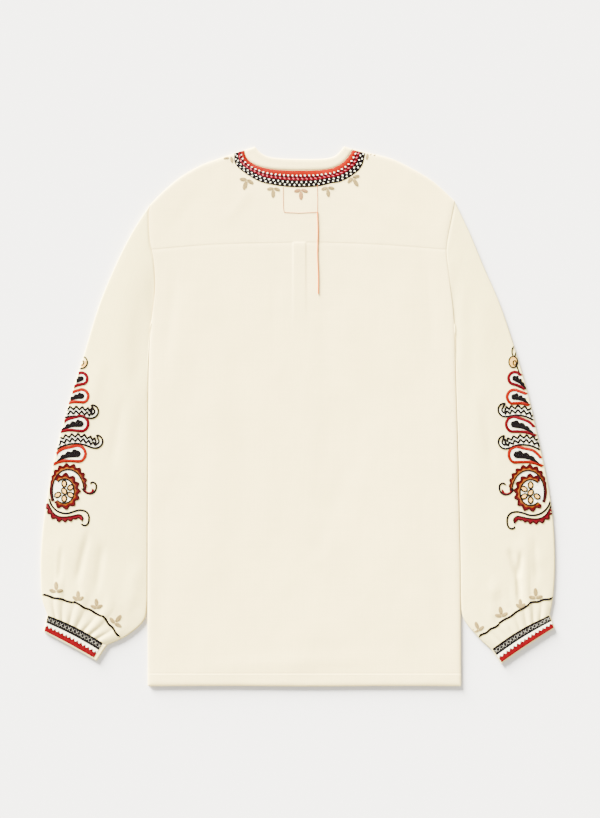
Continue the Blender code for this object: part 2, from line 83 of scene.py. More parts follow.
NECK_SEAM = [(-82.5, 412.2), (-79.6, 401.8), (-70.3, 392.5), (-55.4, 385.9), (-30.8, 382.1), (4.9, 381.0),
             (42.2, 382.3), (61.3, 387.9), (74.5, 398.1), (85.6, 413.6)]
NECKLINE = [(-66.3, 417.4), (-57.8, 408.2), (-45.8, 402.2), (-30.8, 399.7), (-4.6, 398.4), (32.9, 398.5),
            (51.8, 400.8), (62.0, 406.4), (72.0, 418.0)]
FRONT_NECK_SEAM = [(-82.5, 412.2), (-72, 372), (-50, 334), (-22, 316)]
FRONT_NECKLINE = [(-66.3, 417.4), (-57, 380), (-39, 347), (-19, 333)]
CENTRE_X = 2.0
SLIT_FOOT_Y = 158.0
SLIT_TOP_Y = 312.8
SLIT_HALF = 0.8
FRONT_BAND_DEPTH = 17.0
FRONT_INSET = 0.7
YOKE_SEAM = [(-225.8, 257.5), (-128.3, 265.4), (-20, 268.0), (34.5, 268.4), (127.5, 265.2), (229.4, 257.5)]

PLEAT_X = 2.5
PLEAT_HALF = 10.0
PLEAT_STEP = 2.6
PLEAT_HEIGHT = 0.75
PLEAT_LENGTH = 165.0
PLEAT_SPREAD = 3.0
PLEAT_SOFTENING = 5.0
PLEAT_ABOVE_SEAM = 3.0

# Soft folds of the back: the first eight are the part's own, the rest are finer
Fold = namedtuple("Fold", "foot_x foot_y head_x head_y half_width height")
BACK_FOLDS = [
    (-150, -330, -120, 120, 34, 0.5),
    (-70, -250, -95, 200, 26, -0.4),
    (-30, -390, 60, -300, 40, 0.5),
    (60, -200, 45, 40, 28, -0.6),
    (150, -360, 170, 60, 36, 0.6),
    (190, -40, 205, 200, 24, -0.4),
    (-200, -30, -170, 220, 26, 0.5),
    (110, 20, 80, 210, 30, 0.4),
]
FINE_FOLDS = [
    (-170, -389, 160, -372, 13, 0.45),
    (-215, -405, -205, -180, 12, -0.35),
    (228, -400, 222, -210, 13, -0.35),
    (-208, 60, -186, 250, 9, -0.4),
    (212, 80, 196, 250, 9, -0.4),
    (-40, 60, -34, 250, 10, -0.25),
    (46, 20, 36, 250, 12, -0.3),
    (-118, 290, -60, 372, 11, 0.3),
    (70, 352, 160, 290, 12, 0.3),
    (-200, 282, -150, 352, 12, -0.3),
    (160, 350, 214, 285, 12, -0.3),
    (60, -150, 78, -60, 14, -0.35),
    (30, -225, 40, -160, 12, -0.4),
]
FOLD_TAPER = 1.5

Section = namedtuple("Section", "outer_x outer_y inner_off_side inner_y puff")
SLEEVE_LEFT = [
    (-229.0, 327.4, 0.0, 141.4, 0.5),
    (-256.9, 284.0, 0.0, 110.0, 1.0),
    (-283.0, 232.0, 0.0, 70.0, 1.4),
    (-308.1, 170.9, 0.0, 22.0, 1.6),
    (-330.4, 98.0, 0.0, -35.0, 1.7),
    (-351.5, 31.4, 0.0, -90.0, 1.8),
    (-370.0, -36.0, 0.0, -145.0, 1.8),
    (-384.0, -101.0, 0.0, -200.0, 1.8),
    (-393.5, -161.0, 0.0, -250.0, 1.9),
    (-398.0, -215.0, 0.6, -292.0, 2.0),
    (-398.0, -254.0, 6.0, -317.0, 2.0),
    (-396.0, -283.0, 32.0, -340.0, 1.8),
    (-387.9, -307.3, 62.5, -354.6, 1.0),
]
SLEEVE_RIGHT = [
    (242.5, 334.0, 0.0, 139.9, 0.5),
    (266.0, 284.5, 0.0, 110.0, 1.0),
    (288.0, 231.5, 0.0, 70.0, 1.4),
    (312.5, 175.0, 0.0, 22.0, 1.6),
    (336.5, 104.0, 0.0, -35.0, 1.7),
    (356.5, 35.0, 0.0, -90.0, 1.8),
    (373.0, -36.5, 0.0, -145.0, 1.8),
    (386.5, -100.5, 0.0, -200.0, 1.8),
    (395.2, -160.0, 0.0, -250.0, 1.9),
    (398.0, -215.0, 0.3, -290.0, 2.0),
    (397.4, -252.0, 5.0, -315.0, 2.0),
    (395.0, -282.0, 26.0, -341.5, 1.8),
    (390.2, -307.3, 46.5, -360.8, 1.0),
]
PUFF_FULLNESS = 0.7
ARMHOLE_SECTIONS = 3
CUFF_SECTIONS = 3

Gather = namedtuple("Gather", "place height reach")
GATHERS_LEFT = [
    (0.07, 1.2, 70), (0.17, 1.5, 150), (0.29, 1.3, 60), (0.41, 1.5, 130),
    (0.54, 1.3, 50), (0.66, 1.5, 110), (0.78, 1.4, 40), (0.90, 1.3, 60),
]
GATHERS_RIGHT = [
    (0.08, 1.2, 60), (0.20, 1.3, 40), (0.31, 1.7, 160), (0.43, 1.4, 110),
    (0.55, 1.3, 50), (0.67, 1.4, 60), (0.79, 1.3, 50), (0.91, 1.2, 80),
]
GATHER_SINK = 0.4
GATHER_SINK_REACH = 60.0
GATHER_FLATNESS = 0.6

CUFF_EDGE_LEFT = [(-393.6, -333.0), (-311.2, -378.4)]
CUFF_EDGE_RIGHT = [(397.6, -327.6), (315.0, -383.0)]
CUFF_BOW = 3.6
CUFF_RISE = 0.3
CUFF_EDGE_BOW = 0.2

# Creases of the sleeves, in the plan
CREASES_LEFT = [
    (-215, 60, -226, 250, 10, -1.1),
    (-250, 20, -238, 220, 15, -0.9),
    (-262, -150, -258, 60, 18, 0.7),
    (-345, -268, -322, -170, 6, -1.3),
    (-371, -262, -366, -196, 5, -1.2),
    (-314, -285, -300, -190, 7, -1.1),
    (-385, -235, -300, -160, 26, 0.6),
    (-262, -310, -246, -220, 12, 0.8),
    (-290, -90, -268, 40, 9, -0.6),
    (-330, -20, -300, 110, 12, 0.5),
]
CREASES_RIGHT = [
    (238, 60, 246, 240, 10, -1.1),
    (270, 20, 262, 200, 15, -0.9),
    (275, -150, 282, 60, 18, 0.7),
    (343.5, -300, 339.0, -222, 4.0, -1.7),
    (342, -254, 326, -200, 5.0, -1.5),
    (343, -252, 347, -204, 4.0, -1.1),
    (318, -330, 300, -268, 11, -1.1),
    (300, -330, 306, -240, 9, 0.8),
    (372, -268, 366, -180, 6, -1.0),
    (385, -235, 330, -190, 16, 0.6),
    (302, -90, 284, 40, 9, -0.6),
]


# Colours as shares of the light they give back, red, green and blue. Threads are dark, as the light is strong.
LINEN = (0.96, 0.765, 0.32)
SLEEVE_LINEN = (0.87, 0.715, 0.285)
ORANGE = (0.17, 0.0045, 0.0005)
CRIMSON = (0.085, 0.0008, 0.0036)
OUTLINE_RED = (0.030, 0.0018, 0.0022)
CUFF_RED = (0.112, 0.0008, 0.0030)
DARK_RED = (0.085, 0.0010, 0.0028)
BLACK = (0.0042, 0.0030, 0.0030)
WHITE = (0.98, 0.93, 0.66)
LATTICE_WHITE = (0.50, 0.47, 0.36)
PINK = (0.46, 0.06, 0.08)
DEEP_RED = (0.060, 0.0010, 0.0016)
GOLD = (0.150, 0.042, 0.0030)
TAN = (0.26, 0.185, 0.066)
ROSE_TAN = (0.31, 0.165, 0.062)
PETAL = (0.72, 0.40, 0.075)
SEAM_THREAD = (0.86, 0.73, 0.36)
LABEL_THREAD = (0.42, 0.14, 0.042)
TAIL_THREAD = (0.58, 0.125, 0.002)
FLOOR = (0.82, 0.79, 0.73)


# ---- Lines and forms -------------------------------------------------------------------------------------------


def place(dot_x, dot_y):
    """A place in the plan, from its dot in the picture."""
    return np.array([(dot_x - ORIGIN_DOT[0]) * MM_PER_DOT, (ORIGIN_DOT[1] - dot_y) * MM_PER_DOT])


def curve_through(points):
    """A function of 0 to 1 that runs at an even pace along a smooth curve through the points."""
    p = np.array(points, float)
    ends = np.vstack([2 * p[0] - p[1], p, 2 * p[-1] - p[-2]])
    dense = []
    for a, b, c, d in zip(ends, ends[1:], ends[2:], ends[3:]):
        for s in np.linspace(0, 1, 16, endpoint=False):
            cubic = 2 * b + (c - a) * s + (2 * a - 5 * b + 4 * c - d) * s**2 + (3 * b - a - 3 * c + d) * s**3
            dense.append(cubic / 2)
    dense = np.array(dense + [p[-1]])
    pace = np.r_[0, np.cumsum(np.linalg.norm(np.diff(dense, axis=0), axis=1))]
    return lambda t: np.array([np.interp(t, pace / pace[-1], column) for column in dense.T]).T


def length_of(points):
    return float(np.linalg.norm(np.diff(points, axis=0), axis=1).sum())


def evenly(points, pitch):
    """A line of points laid again at an even pitch."""
    p = np.array(points, float)
    pace = np.r_[0, np.cumsum(np.linalg.norm(np.diff(p, axis=0), axis=1))]
    count = max(2, int(round(pace[-1] / pitch)) + 1)
    return np.array([np.interp(np.linspace(0, pace[-1], count), pace, column) for column in p.T]).T


def shifted(points, distance):
    """An open line of points moved sideways, to its left for a positive distance."""
    p = np.array(points, float)
    along = np.gradient(p, axis=0)
    along /= np.maximum(np.linalg.norm(along, axis=1), 1e-9)[:, None]
    return p + np.asarray(distance)[..., None] * np.column_stack([-along[:, 1], along[:, 0]])


def smooth_step(t):
    t = np.clip(t, 0, 1)
    return t * t * (3 - 2 * t)


def rolled(distance, width):
    """0 at an edge, rising like a quarter circle to 1 at the given width."""
    t = np.clip(distance / width, 0, 1)
    return np.sqrt(1 - (1 - t) ** 2)


def patch(bottom, top, left, right):
    """Points inside four lines of points that share their corners: a grid of rows from bottom to top."""
    columns = np.linspace(0, 1, len(bottom))[None, :, None]
    rows = np.linspace(0, 1, len(left))[:, None, None]
    bottom, top = np.array(bottom)[None], np.array(top)[None]
    left, right = np.array(left)[:, None], np.array(right)[:, None]
    corners = (
        (1 - rows) * ((1 - columns) * left[0] + columns * right[0])
        + rows * ((1 - columns) * left[-1] + columns * right[-1])
    )
    return (1 - rows) * bottom + rows * top + (1 - columns) * left + columns * right - corners


def edge_distances(grid):
    """How far each point of a grid lies from its left, right, bottom and top lines."""
    return [
        np.linalg.norm(grid - edge, axis=2)
        for edge in (grid[:, :1], grid[:, -1:], grid[:1], grid[-1:])
    ]


def pleat_height(x, y):
    below = np.clip((YOKE_SEAM[2][1] - y) / PLEAT_LENGTH, 0, 1)
    above = np.clip((y - YOKE_SEAM[2][1]) / PLEAT_ABOVE_SEAM, 0, 1)
    half = PLEAT_HALF + PLEAT_SPREAD * below
    step = PLEAT_STEP + PLEAT_SOFTENING * below
    inside = smooth_step((half + PLEAT_STEP / 2 - np.abs(x - PLEAT_X)) / step)
    return PLEAT_HEIGHT * inside * (1 - smooth_step(below)) * (1 - smooth_step(above))


def fold_height(x, y, folds):
    """The sum of soft ridges and troughs, each along its own line."""
    total = np.zeros_like(x)
    for fold in map(Fold._make, folds):
        run_x, run_y = fold.head_x - fold.foot_x, fold.head_y - fold.foot_y
        length = np.hypot(run_x, run_y)
        along = ((x - fold.foot_x) * run_x + (y - fold.foot_y) * run_y) / length**2
        across = ((y - fold.foot_y) * run_x - (x - fold.foot_x) * run_y) / length
        fading = smooth_step(FOLD_TAPER * (1 - np.abs(2 * along - 1)))
        total += fold.height * np.exp(-((across / fold.half_width) ** 2)) * fading
    return total


def rumple(x, y, sizes=((46.0, 84.0, 0.30), (17.0, 25.0, 0.10), (6.5, 8.0, 0.03))):
    """The slight unevenness of pressed cloth."""
    total = np.zeros(x.size)
    for wide, long, height in sizes:
        for index, (a, b) in enumerate(zip(x.ravel() / wide, y.ravel() / long)):
            total[index] += height * noise.noise(Vector((a, b, wide)))
    return total.reshape(x.shape)


def armhole_share(armhole, y):
    places = np.linspace(0, 1, 400)
    heights = np.array([armhole(t)[1] for t in places])
    return float(np.interp(-y, -heights, places))


def stations(length, pitch, fine=(0, 0.4, 0.9, 1.6, 2.6, 4.0, 6.0, 9.0), crowded=()):
    """Places from 0 to 1 along a length: close at both ends and where crowded, even between."""
    near = np.array(fine) / length
    between = np.linspace(near[-1], 1 - near[-1], int(length / pitch))
    places = np.concatenate([near, between, 1 - near, np.array(crowded)])
    places = np.unique(np.round(places, 6))
    return places[np.r_[True, np.diff(places) > 0.25 / length]]


# ---- Making cloth ----------------------------------------------------------------------------------------------

PIECES = []
SURFACES = {}


def add_piece(name, mesh, material, slot="cream_linen"):
    mesh.materials.clear()
    mesh.materials.append(material)
    mesh.shade_smooth()
    obj = bpy.data.objects.new(name, mesh)
    bpy.context.scene.collection.objects.link(obj)
    PIECES.append((obj, slot))
    return obj


def grid_faces(rows, columns, closed):
    index = np.arange(rows * columns).reshape(rows, columns)
    if closed:
        index = np.hstack([index, index[:, :1]])
    a, b, c, d = index[:-1, :-1], index[:-1, 1:], index[1:, 1:], index[1:, :-1]
    return np.stack([a, b, c, d], axis=-1).reshape(-1, 4)


CUT_EDGE_ANGLE = np.radians(50)


def cloth(name, grid, weave, material, thickness=SHELL, closed=False, slot="cream_linen"):
    """A shell of cloth from a grid of points on its outer side. Weave gives each point's place in the cloth."""
    rows, columns = grid.shape[:2]
    faces = grid_faces(rows, columns, closed)
    points = grid.reshape(-1, 3) * MM
    mesh = bpy.data.meshes.new(name)
    mesh.from_pydata(points.tolist(), [], faces.tolist())
    layer = mesh.uv_layers.new(name="weave")
    flat = weave.reshape(-1, 2) * MM
    uv = flat[faces.ravel()]
    if closed:
        quads = uv.reshape(-1, 4, 2)
        around = flat[:, 0].max() - flat[:, 0].min() + (flat[1, 0] - flat[0, 0])
        wraps = quads[:, 1, 0] < quads[:, 0, 0] - around / 2
        quads[wraps, 1, 0] += around
        quads[wraps, 2, 0] += around
        uv = quads.reshape(-1, 2)
    layer.data.foreach_set("uv", uv.ravel())
    obj = add_piece(name, mesh, material, slot)
    wall = obj.modifiers.new("Wall", "SOLIDIFY")
    wall.thickness = thickness * MM
    wall.offset = -1
    depsgraph = bpy.context.evaluated_depsgraph_get()
    shell = bpy.data.meshes.new_from_object(obj.evaluated_get(depsgraph), depsgraph=depsgraph)
    obj.modifiers.remove(wall)
    obj.data = shell
    bpy.data.meshes.remove(mesh)
    shell.name = name
    for vertex in shell.vertices:
        vertex.co.z = max(vertex.co.z, 0)
    shell.set_sharp_from_angle(angle=CUT_EDGE_ANGLE)
    SURFACES[name] = BVHTree.FromPolygons([Vector(p) for p in points], faces.tolist())
    return obj


def back_level(x, y):
    return BACK_LEVEL + fold_height(x, y, BACK_FOLDS)


def body_heights(grid, edge_levels, roll, seam_edges=()):
    x, y = grid[..., 0], grid[..., 1]
    level = back_level(x, y)
    height = level.copy()
    distances = edge_distances(grid)
    calm = np.ones_like(x)
    for distance, edge_level in zip(distances, edge_levels):
        if edge_level is not None:
            height = np.minimum(height, edge_level + (level - edge_level) * rolled(distance, roll))
            calm *= smooth_step(distance / 10)
    height += calm * (fold_height(x, y, FINE_FOLDS) + rumple(x, y)) + pleat_height(x, y)
    for index in seam_edges:
        height -= SEAM_DIP * np.exp(-((distances[index] / SEAM_WIDTH) ** 2))
    return height


SEAM_DIP = 0.22
SEAM_WIDTH = 1.8


def side_levels(grid):
    up_armhole = smooth_step((grid[..., 1] - SIDE_LEFT[-1][1]) / UNDERARM_RISE)
    return LAPPED_EDGE + (ARMHOLE_LEVEL - LAPPED_EDGE) * up_armhole


def make_back(material, armhole_left, armhole_right):
    width = YOKE_SEAM[-1][0] - YOKE_SEAM[0][0]
    pleat = (PLEAT_X - YOKE_SEAM[0][0]) / width
    crowded = pleat + np.arange(-21, 21.1, 1.0) / width
    columns = stations(width, 3.6, crowded=crowded)
    seam = curve_through(YOKE_SEAM)(columns)
    left_join = armhole_share(armhole_left, YOKE_SEAM[0][1])
    right_join = armhole_share(armhole_right, YOKE_SEAM[-1][1])
    rows = stations(SIDE_LEFT[-1][1] - HEM_Y, 3.6, crowded=(HEM_DEPTH + np.arange(-3, 3.1, 0.75)) / 560)
    armhole_rows = np.linspace(1, 0, 40)[1:]
    left = np.vstack([
        curve_through(SIDE_LEFT)(rows), armhole_left(left_join + (1 - left_join) * armhole_rows),
    ])
    right = np.vstack([
        curve_through(SIDE_RIGHT)(rows), armhole_right(right_join + (1 - right_join) * armhole_rows),
    ])
    left[-1], right[-1] = seam[0], seam[-1]
    hem_run = SIDE_RIGHT[0][0] - SIDE_LEFT[0][0]
    hem_wave = 0.5 * np.sin(columns * 9.0) * np.sin(np.pi * columns)
    bottom = np.column_stack([SIDE_LEFT[0][0] + hem_run * columns, HEM_Y + 0.6 + hem_wave])
    left[0], right[0] = bottom[0], bottom[-1]
    grid = patch(bottom, seam, left, right)
    levels = side_levels(grid)
    height = body_heights(grid, (levels, levels, LAPPED_EDGE, None), EDGE_ROLL, seam_edges=(3,))
    above_hem = grid[..., 1] - HEM_Y
    height += 0.15 * smooth_step((HEM_DEPTH + 1 - above_hem) / 2)
    height -= 0.14 * np.exp(-(((above_hem - HEM_DEPTH - 0.8) / 1.1) ** 2))
    return cloth("back_cloth", np.dstack([grid, height]), grid, material)


def make_yoke(material, armhole_left, armhole_right):
    shoulder_left = curve_through(SHOULDER_LEFT)(np.linspace(0, 1, 46))
    shoulder_right = curve_through(SHOULDER_RIGHT)(np.linspace(0, 1, 46))
    neck = curve_through(NECK_SEAM)(np.linspace(0, 1, 84))
    top = np.vstack([shoulder_left[:-1], neck, shoulder_right[1:]])
    left_join = armhole_share(armhole_left, YOKE_SEAM[0][1])
    right_join = armhole_share(armhole_right, YOKE_SEAM[-1][1])
    rows = 1 - stations(140, 3.2)
    left, right = armhole_left(left_join * rows), armhole_right(right_join * rows)
    share = np.r_[0, np.cumsum(np.linalg.norm(np.diff(top, axis=0), axis=1))]
    along_seam = (share / share[-1] + np.linspace(0, 1, len(top))) / 2
    bottom = curve_through(YOKE_SEAM)(along_seam)
    left[0], right[0] = bottom[0], bottom[-1]
    left[-1], right[-1] = top[0], top[-1]
    grid = patch(bottom, top, left, right)
    height = body_heights(grid, (ARMHOLE_LEVEL, ARMHOLE_LEVEL, None, LAPPED_EDGE), EDGE_ROLL, seam_edges=(2,))
    return cloth("yoke_cloth", np.dstack([grid, height]), grid, material)


def make_neck_band(material):
    seam = curve_through(NECK_SEAM)(np.linspace(0, 1, 110))
    line = curve_through(NECKLINE)(np.linspace(0, 1, 110))
    strip = np.array([seam + (line - seam) * share for share in stations(17, 1.6, fine=(0, 0.4, 1.0, 2.0))])
    height = body_heights(strip, (LAPPED_EDGE,) * 4, BAND_ROLL)
    return cloth("neck_band_back_cloth", np.dstack([strip, height]), strip, material)


def make_front(material, armhole_left, armhole_right):
    """The front lies under the back. Its neck is deeper, with a slit down the middle for the head."""
    rows = np.r_[np.linspace(0, 1, 90), 1 + np.linspace(0, 1, 34)[1:]]
    left = np.vstack([curve_through(SIDE_LEFT)(rows[:90]), armhole_left(2 - rows[90:])])
    right = np.vstack([curve_through(SIDE_RIGHT)(rows[:90]), armhole_right(2 - rows[90:])])
    half = curve_through(FRONT_NECK_SEAM)(np.linspace(0, 1, 24))
    other = half[::-1] * (-1, 1) + (2 * CENTRE_X, 0)
    shoulder_left = curve_through(SHOULDER_LEFT)(np.linspace(0, 1, 24))
    shoulder_right = curve_through(SHOULDER_RIGHT)(np.linspace(0, 1, 24))
    top = np.vstack([shoulder_left[:-1], half, [(CENTRE_X, SLIT_TOP_Y)], other, shoulder_right[1:]])
    left[-1], right[-1] = top[0], top[-1]
    bottom = np.column_stack([np.linspace(SIDE_LEFT[0][0], SIDE_RIGHT[0][0], len(top)), np.full(len(top), HEM_Y)])
    bottom[len(top) // 2, 0] = CENTRE_X
    left, right = left + (FRONT_INSET, 0), right - (FRONT_INSET, 0)
    top, bottom = top - (0, 0.5), bottom + (0, FRONT_INSET)
    bottom[0], bottom[-1], top[0], top[-1] = left[0], right[0], left[-1], right[-1]
    grid = patch(bottom, top, left, right)
    height = np.full(grid.shape[:2], SHELL + 0.25) + 0.12 * rumple(grid[..., 0], grid[..., 1], ((40.0, 60.0, 1.0),))
    obj = cloth("front_cloth", np.dstack([grid, height]), grid, material, slot="cream_linen_front")
    middle = len(top) // 2
    bm = bmesh.new()
    bm.from_mesh(obj.data)
    bm.verts.ensure_lookup_table()
    columns = len(top)
    line = [bm.verts[row * columns + middle] for row in range(len(left))]
    above = [v for v in line if v.co.y > SLIT_FOOT_Y * MM]
    slit = [e for e in bm.edges if e.verts[0] in above and e.verts[1] in above]
    bmesh.ops.split_edges(bm, edges=slit)
    for vert in bm.verts:
        on_slit = abs(vert.co.x - CENTRE_X * MM) < 1e-3 and vert.co.y > (SLIT_FOOT_Y + 3) * MM
        if on_slit and vert.is_boundary:
            sides = [face.calc_center_median().x - CENTRE_X * MM for face in vert.link_faces]
            vert.co.x += SLIT_HALF * MM * np.sign(sum(sides))
    bm.to_mesh(obj.data)
    bm.free()
    return obj


def make_front_band(name, material, side):
    outer = np.vstack([curve_through(FRONT_NECK_SEAM)(np.linspace(0, 1, 30)), [(CENTRE_X - 1.2, SLIT_TOP_Y)]])
    inner = np.vstack([
        curve_through(FRONT_NECKLINE)(np.linspace(0, 1, 30)), [(CENTRE_X - 1.2, SLIT_TOP_Y + FRONT_BAND_DEPTH)],
    ])
    shares = np.linspace(0.04, 1, 8)
    strip = np.array([outer + (inner - outer) * share for share in shares])
    if side > 0:
        strip = strip * (-1, 1) + (2 * CENTRE_X, 0)
        strip = strip[:, ::-1]
    height = np.full(strip.shape[:2], SHELL + 0.3)
    return cloth(name, np.dstack([strip, height]), strip, material)


# ---- Sleeves and cuffs -----------------------------------------------------------------------------------------


def curve_by_row(rows):
    ends = np.vstack([2 * rows[0] - rows[1], rows, 2 * rows[-1] - rows[-2]])

    def at(where):
        k = min(int(where), len(rows) - 2)
        s = where - k
        a, b, c, d = ends[k:k + 4]
        return (2 * b + (c - a) * s + (2 * a - 5 * b + 4 * c - d) * s**2 + (3 * b - a - 3 * c + d) * s**3) / 2

    return at


def section_reader(table, side, outward):
    smooth_row = curve_by_row(np.array(table, float))
    line = curve_through(side)(np.linspace(0, 1, 200))

    def section(where):
        row = Section(*smooth_row(where))
        gap = SEAM_GAP + (SLEEVE_TO_SIDE - SEAM_GAP) * smooth_step(where)
        side_x = np.interp(row.inner_y, line[:, 1], line[:, 0])
        inner_x = side_x + outward * (gap + max(row.inner_off_side, 0))
        outer_x = row.outer_x + outward * SEAM_GAP * (where == 0)
        return np.array([outer_x, row.outer_y]), np.array([inner_x, row.inner_y]), row.puff

    return section


def away_from_body(outer, inner):
    run = (inner - outer) / np.linalg.norm(inner - outer)
    across = np.array([run[1], -run[0]])
    return across * -np.sign(across[1])


def gather_height(places, gathers, above_cuff):
    """Flat-topped gathers with narrow valleys between them."""
    crests = [Gather(*row).place for row in gathers]
    troughs = [0.0, *[(a + b) / 2 for a, b in zip(crests, crests[1:])], 1.0]
    total = np.zeros(len(places))
    for gather, low, high in zip(map(Gather._make, gathers), troughs, troughs[1:]):
        half = np.where(places < gather.place, gather.place - low, high - gather.place)
        bump = np.cos(np.pi * np.clip((places - gather.place) / half, -1, 1)) / 2 + 0.5
        total += gather.height * bump**GATHER_FLATNESS * (1 - smooth_step(above_cuff / gather.reach))
    return total


FOLD_TURN = np.radians([-90, -60, -30, 0, 30, 60, 90])
TOP_PLACES = np.unique(np.r_[np.linspace(0, 0.06, 7), np.linspace(0.06, 0.94, 104), np.linspace(0.94, 1, 7)])
UNDER_PLACES = np.linspace(1, 0, 26)


def pressed_ring(across, width, half_thick, heights):
    """A section of a tube pressed flat, and how far round it each point lies."""
    edge = half_thick / width
    ring = []
    for turn in FOLD_TURN[1:-1]:
        ring.append((*across(edge * (1 - np.cos(turn))), half_thick * (1 + np.sin(turn))))
    for share, height in zip(TOP_PLACES, heights):
        ring.append((*across(edge + share * (1 - 2 * edge)), height))
    for turn in FOLD_TURN[1:-1][::-1]:
        ring.append((*across(1 - edge * (1 - np.cos(turn))), half_thick * (1 + np.sin(turn))))
    for share in UNDER_PLACES:
        ring.append((*across(edge + share * (1 - 2 * edge)), 0.05))
    ring = np.array(ring)
    around = np.r_[0, np.cumsum(np.linalg.norm(np.diff(ring, axis=0), axis=1))]
    return ring, around


def make_tube(name, rings, arounds, outward, material, thickness):
    """Rings run from the body to the hand. They are laid the other way for the cloth's outer side to face out."""
    grid = np.array(rings[::-1])
    middle = np.array([(ring[0] + ring[len(TOP_PLACES)]) / 2 for ring in grid])
    along = np.r_[0, np.cumsum(np.linalg.norm(np.diff(middle, axis=0), axis=1))]
    around = np.array(arounds[::-1])
    if outward > 0:
        grid, around = grid[:, ::-1], -around[:, ::-1]
    weave = np.dstack([around, np.broadcast_to(along[:, None], around.shape)])
    return cloth(name, grid, weave, material, thickness=thickness, closed=True)


def make_sleeve(name, material, table, gathers, creases, armhole, side, outward):
    section = section_reader(table, side, outward)
    last = len(table) - 1
    cuff_outer, cuff_inner, _ = section(last)
    cuff_bow_way = away_from_body(cuff_outer, cuff_inner) * -1
    seam_start, seam_end = armhole(0), armhole(1)
    rings, arounds = [], []
    for where in np.r_[np.linspace(0, last - 3, 92)[:-1], np.linspace(last - 3, last, 64)]:
        outer, inner, puff = section(where)
        bow_armhole = 1 - smooth_step(where / ARMHOLE_SECTIONS)
        bow_cuff = smooth_step((where - last + CUFF_SECTIONS) / CUFF_SECTIONS) * CUFF_BOW
        to_cuff = (np.linalg.norm(cuff_outer - outer) + np.linalg.norm(cuff_inner - inner)) / 2

        def across(share):
            chord = seam_start + (seam_end - seam_start) * share
            bow = (armhole(share) - chord) * bow_armhole + cuff_bow_way * bow_cuff * np.sin(np.pi * share)
            return outer + (inner - outer) * share + bow

        middle = np.sin(np.pi * TOP_PLACES)
        sunk = GATHER_SINK * (1 - smooth_step(to_cuff / GATHER_SINK_REACH)) * middle
        plan = np.array([across(share) for share in TOP_PLACES])
        calm = smooth_step(TOP_PLACES / 0.05) * smooth_step((1 - TOP_PLACES) / 0.05)
        x, y = plan[:, 0], plan[:, 1]
        lie = fold_height(x, y, creases) + rumple(x, y)
        heights = 2 * SLEEVE_FOLD + puff * middle**PUFF_FULLNESS - sunk + lie * calm
        heights += gather_height(TOP_PLACES, gathers, to_cuff)
        heights -= 0.8 * np.exp(-((where / 0.05) ** 2)) * calm
        ring, around = pressed_ring(across, np.linalg.norm(inner - outer), SLEEVE_FOLD, heights)
        rings.append(ring)
        arounds.append(around)
    return make_tube(name, rings, arounds, outward, material, SHELL)


def cuff_reader(table, side, edge_ends, outward):
    """A function that gives a cuff's line across the wrist at a depth from its seam, 0 to 1."""
    seam_outer, seam_inner, _ = section_reader(table, side, outward)(len(table) - 1)
    down = away_from_body(seam_outer, seam_inner)
    edge_outer, edge_inner = np.array(edge_ends, float)

    def line(depth):
        start = seam_outer + (edge_outer - seam_outer) * depth + down * SEAM_GAP / 2
        end = seam_inner + (edge_inner - seam_inner) * depth + down * SEAM_GAP / 2
        bow = CUFF_BOW * (1 - (1 - CUFF_EDGE_BOW) * depth)

        def across(share):
            share = np.asarray(share)[..., None]
            return start + (end - start) * share - down * bow * np.sin(np.pi * share)

        return across

    return line


def make_cuff(name, material, line):
    outward = np.sign(line(0)(0)[0] - line(0)(1)[0])
    rings, arounds = [], []
    for depth in stations(26, 1.3, fine=(0, 0.3, 0.8, 1.6)):
        across = line(depth)
        plan = across(TOP_PLACES)
        from_edges = min(depth, 1 - depth) * 26
        heights = 2 * CUFF_FOLD + CUFF_RISE * np.sin(np.pi * TOP_PLACES) - 0.5 * np.exp(-((from_edges / 0.8) ** 2))
        heights += rumple(plan[:, 0], plan[:, 1], ((15.0, 12.0, 0.25),)) * np.sin(np.pi * TOP_PLACES)
        ring, around = pressed_ring(across, length_of(plan), CUFF_FOLD, heights)
        rings.append(ring)
        arounds.append(around)
    return make_tube(name, rings, arounds, outward, material, CUFF_SHELL)


# ---- Thread ----------------------------------------------------------------------------------------------------

chance = np.random.default_rng(11)


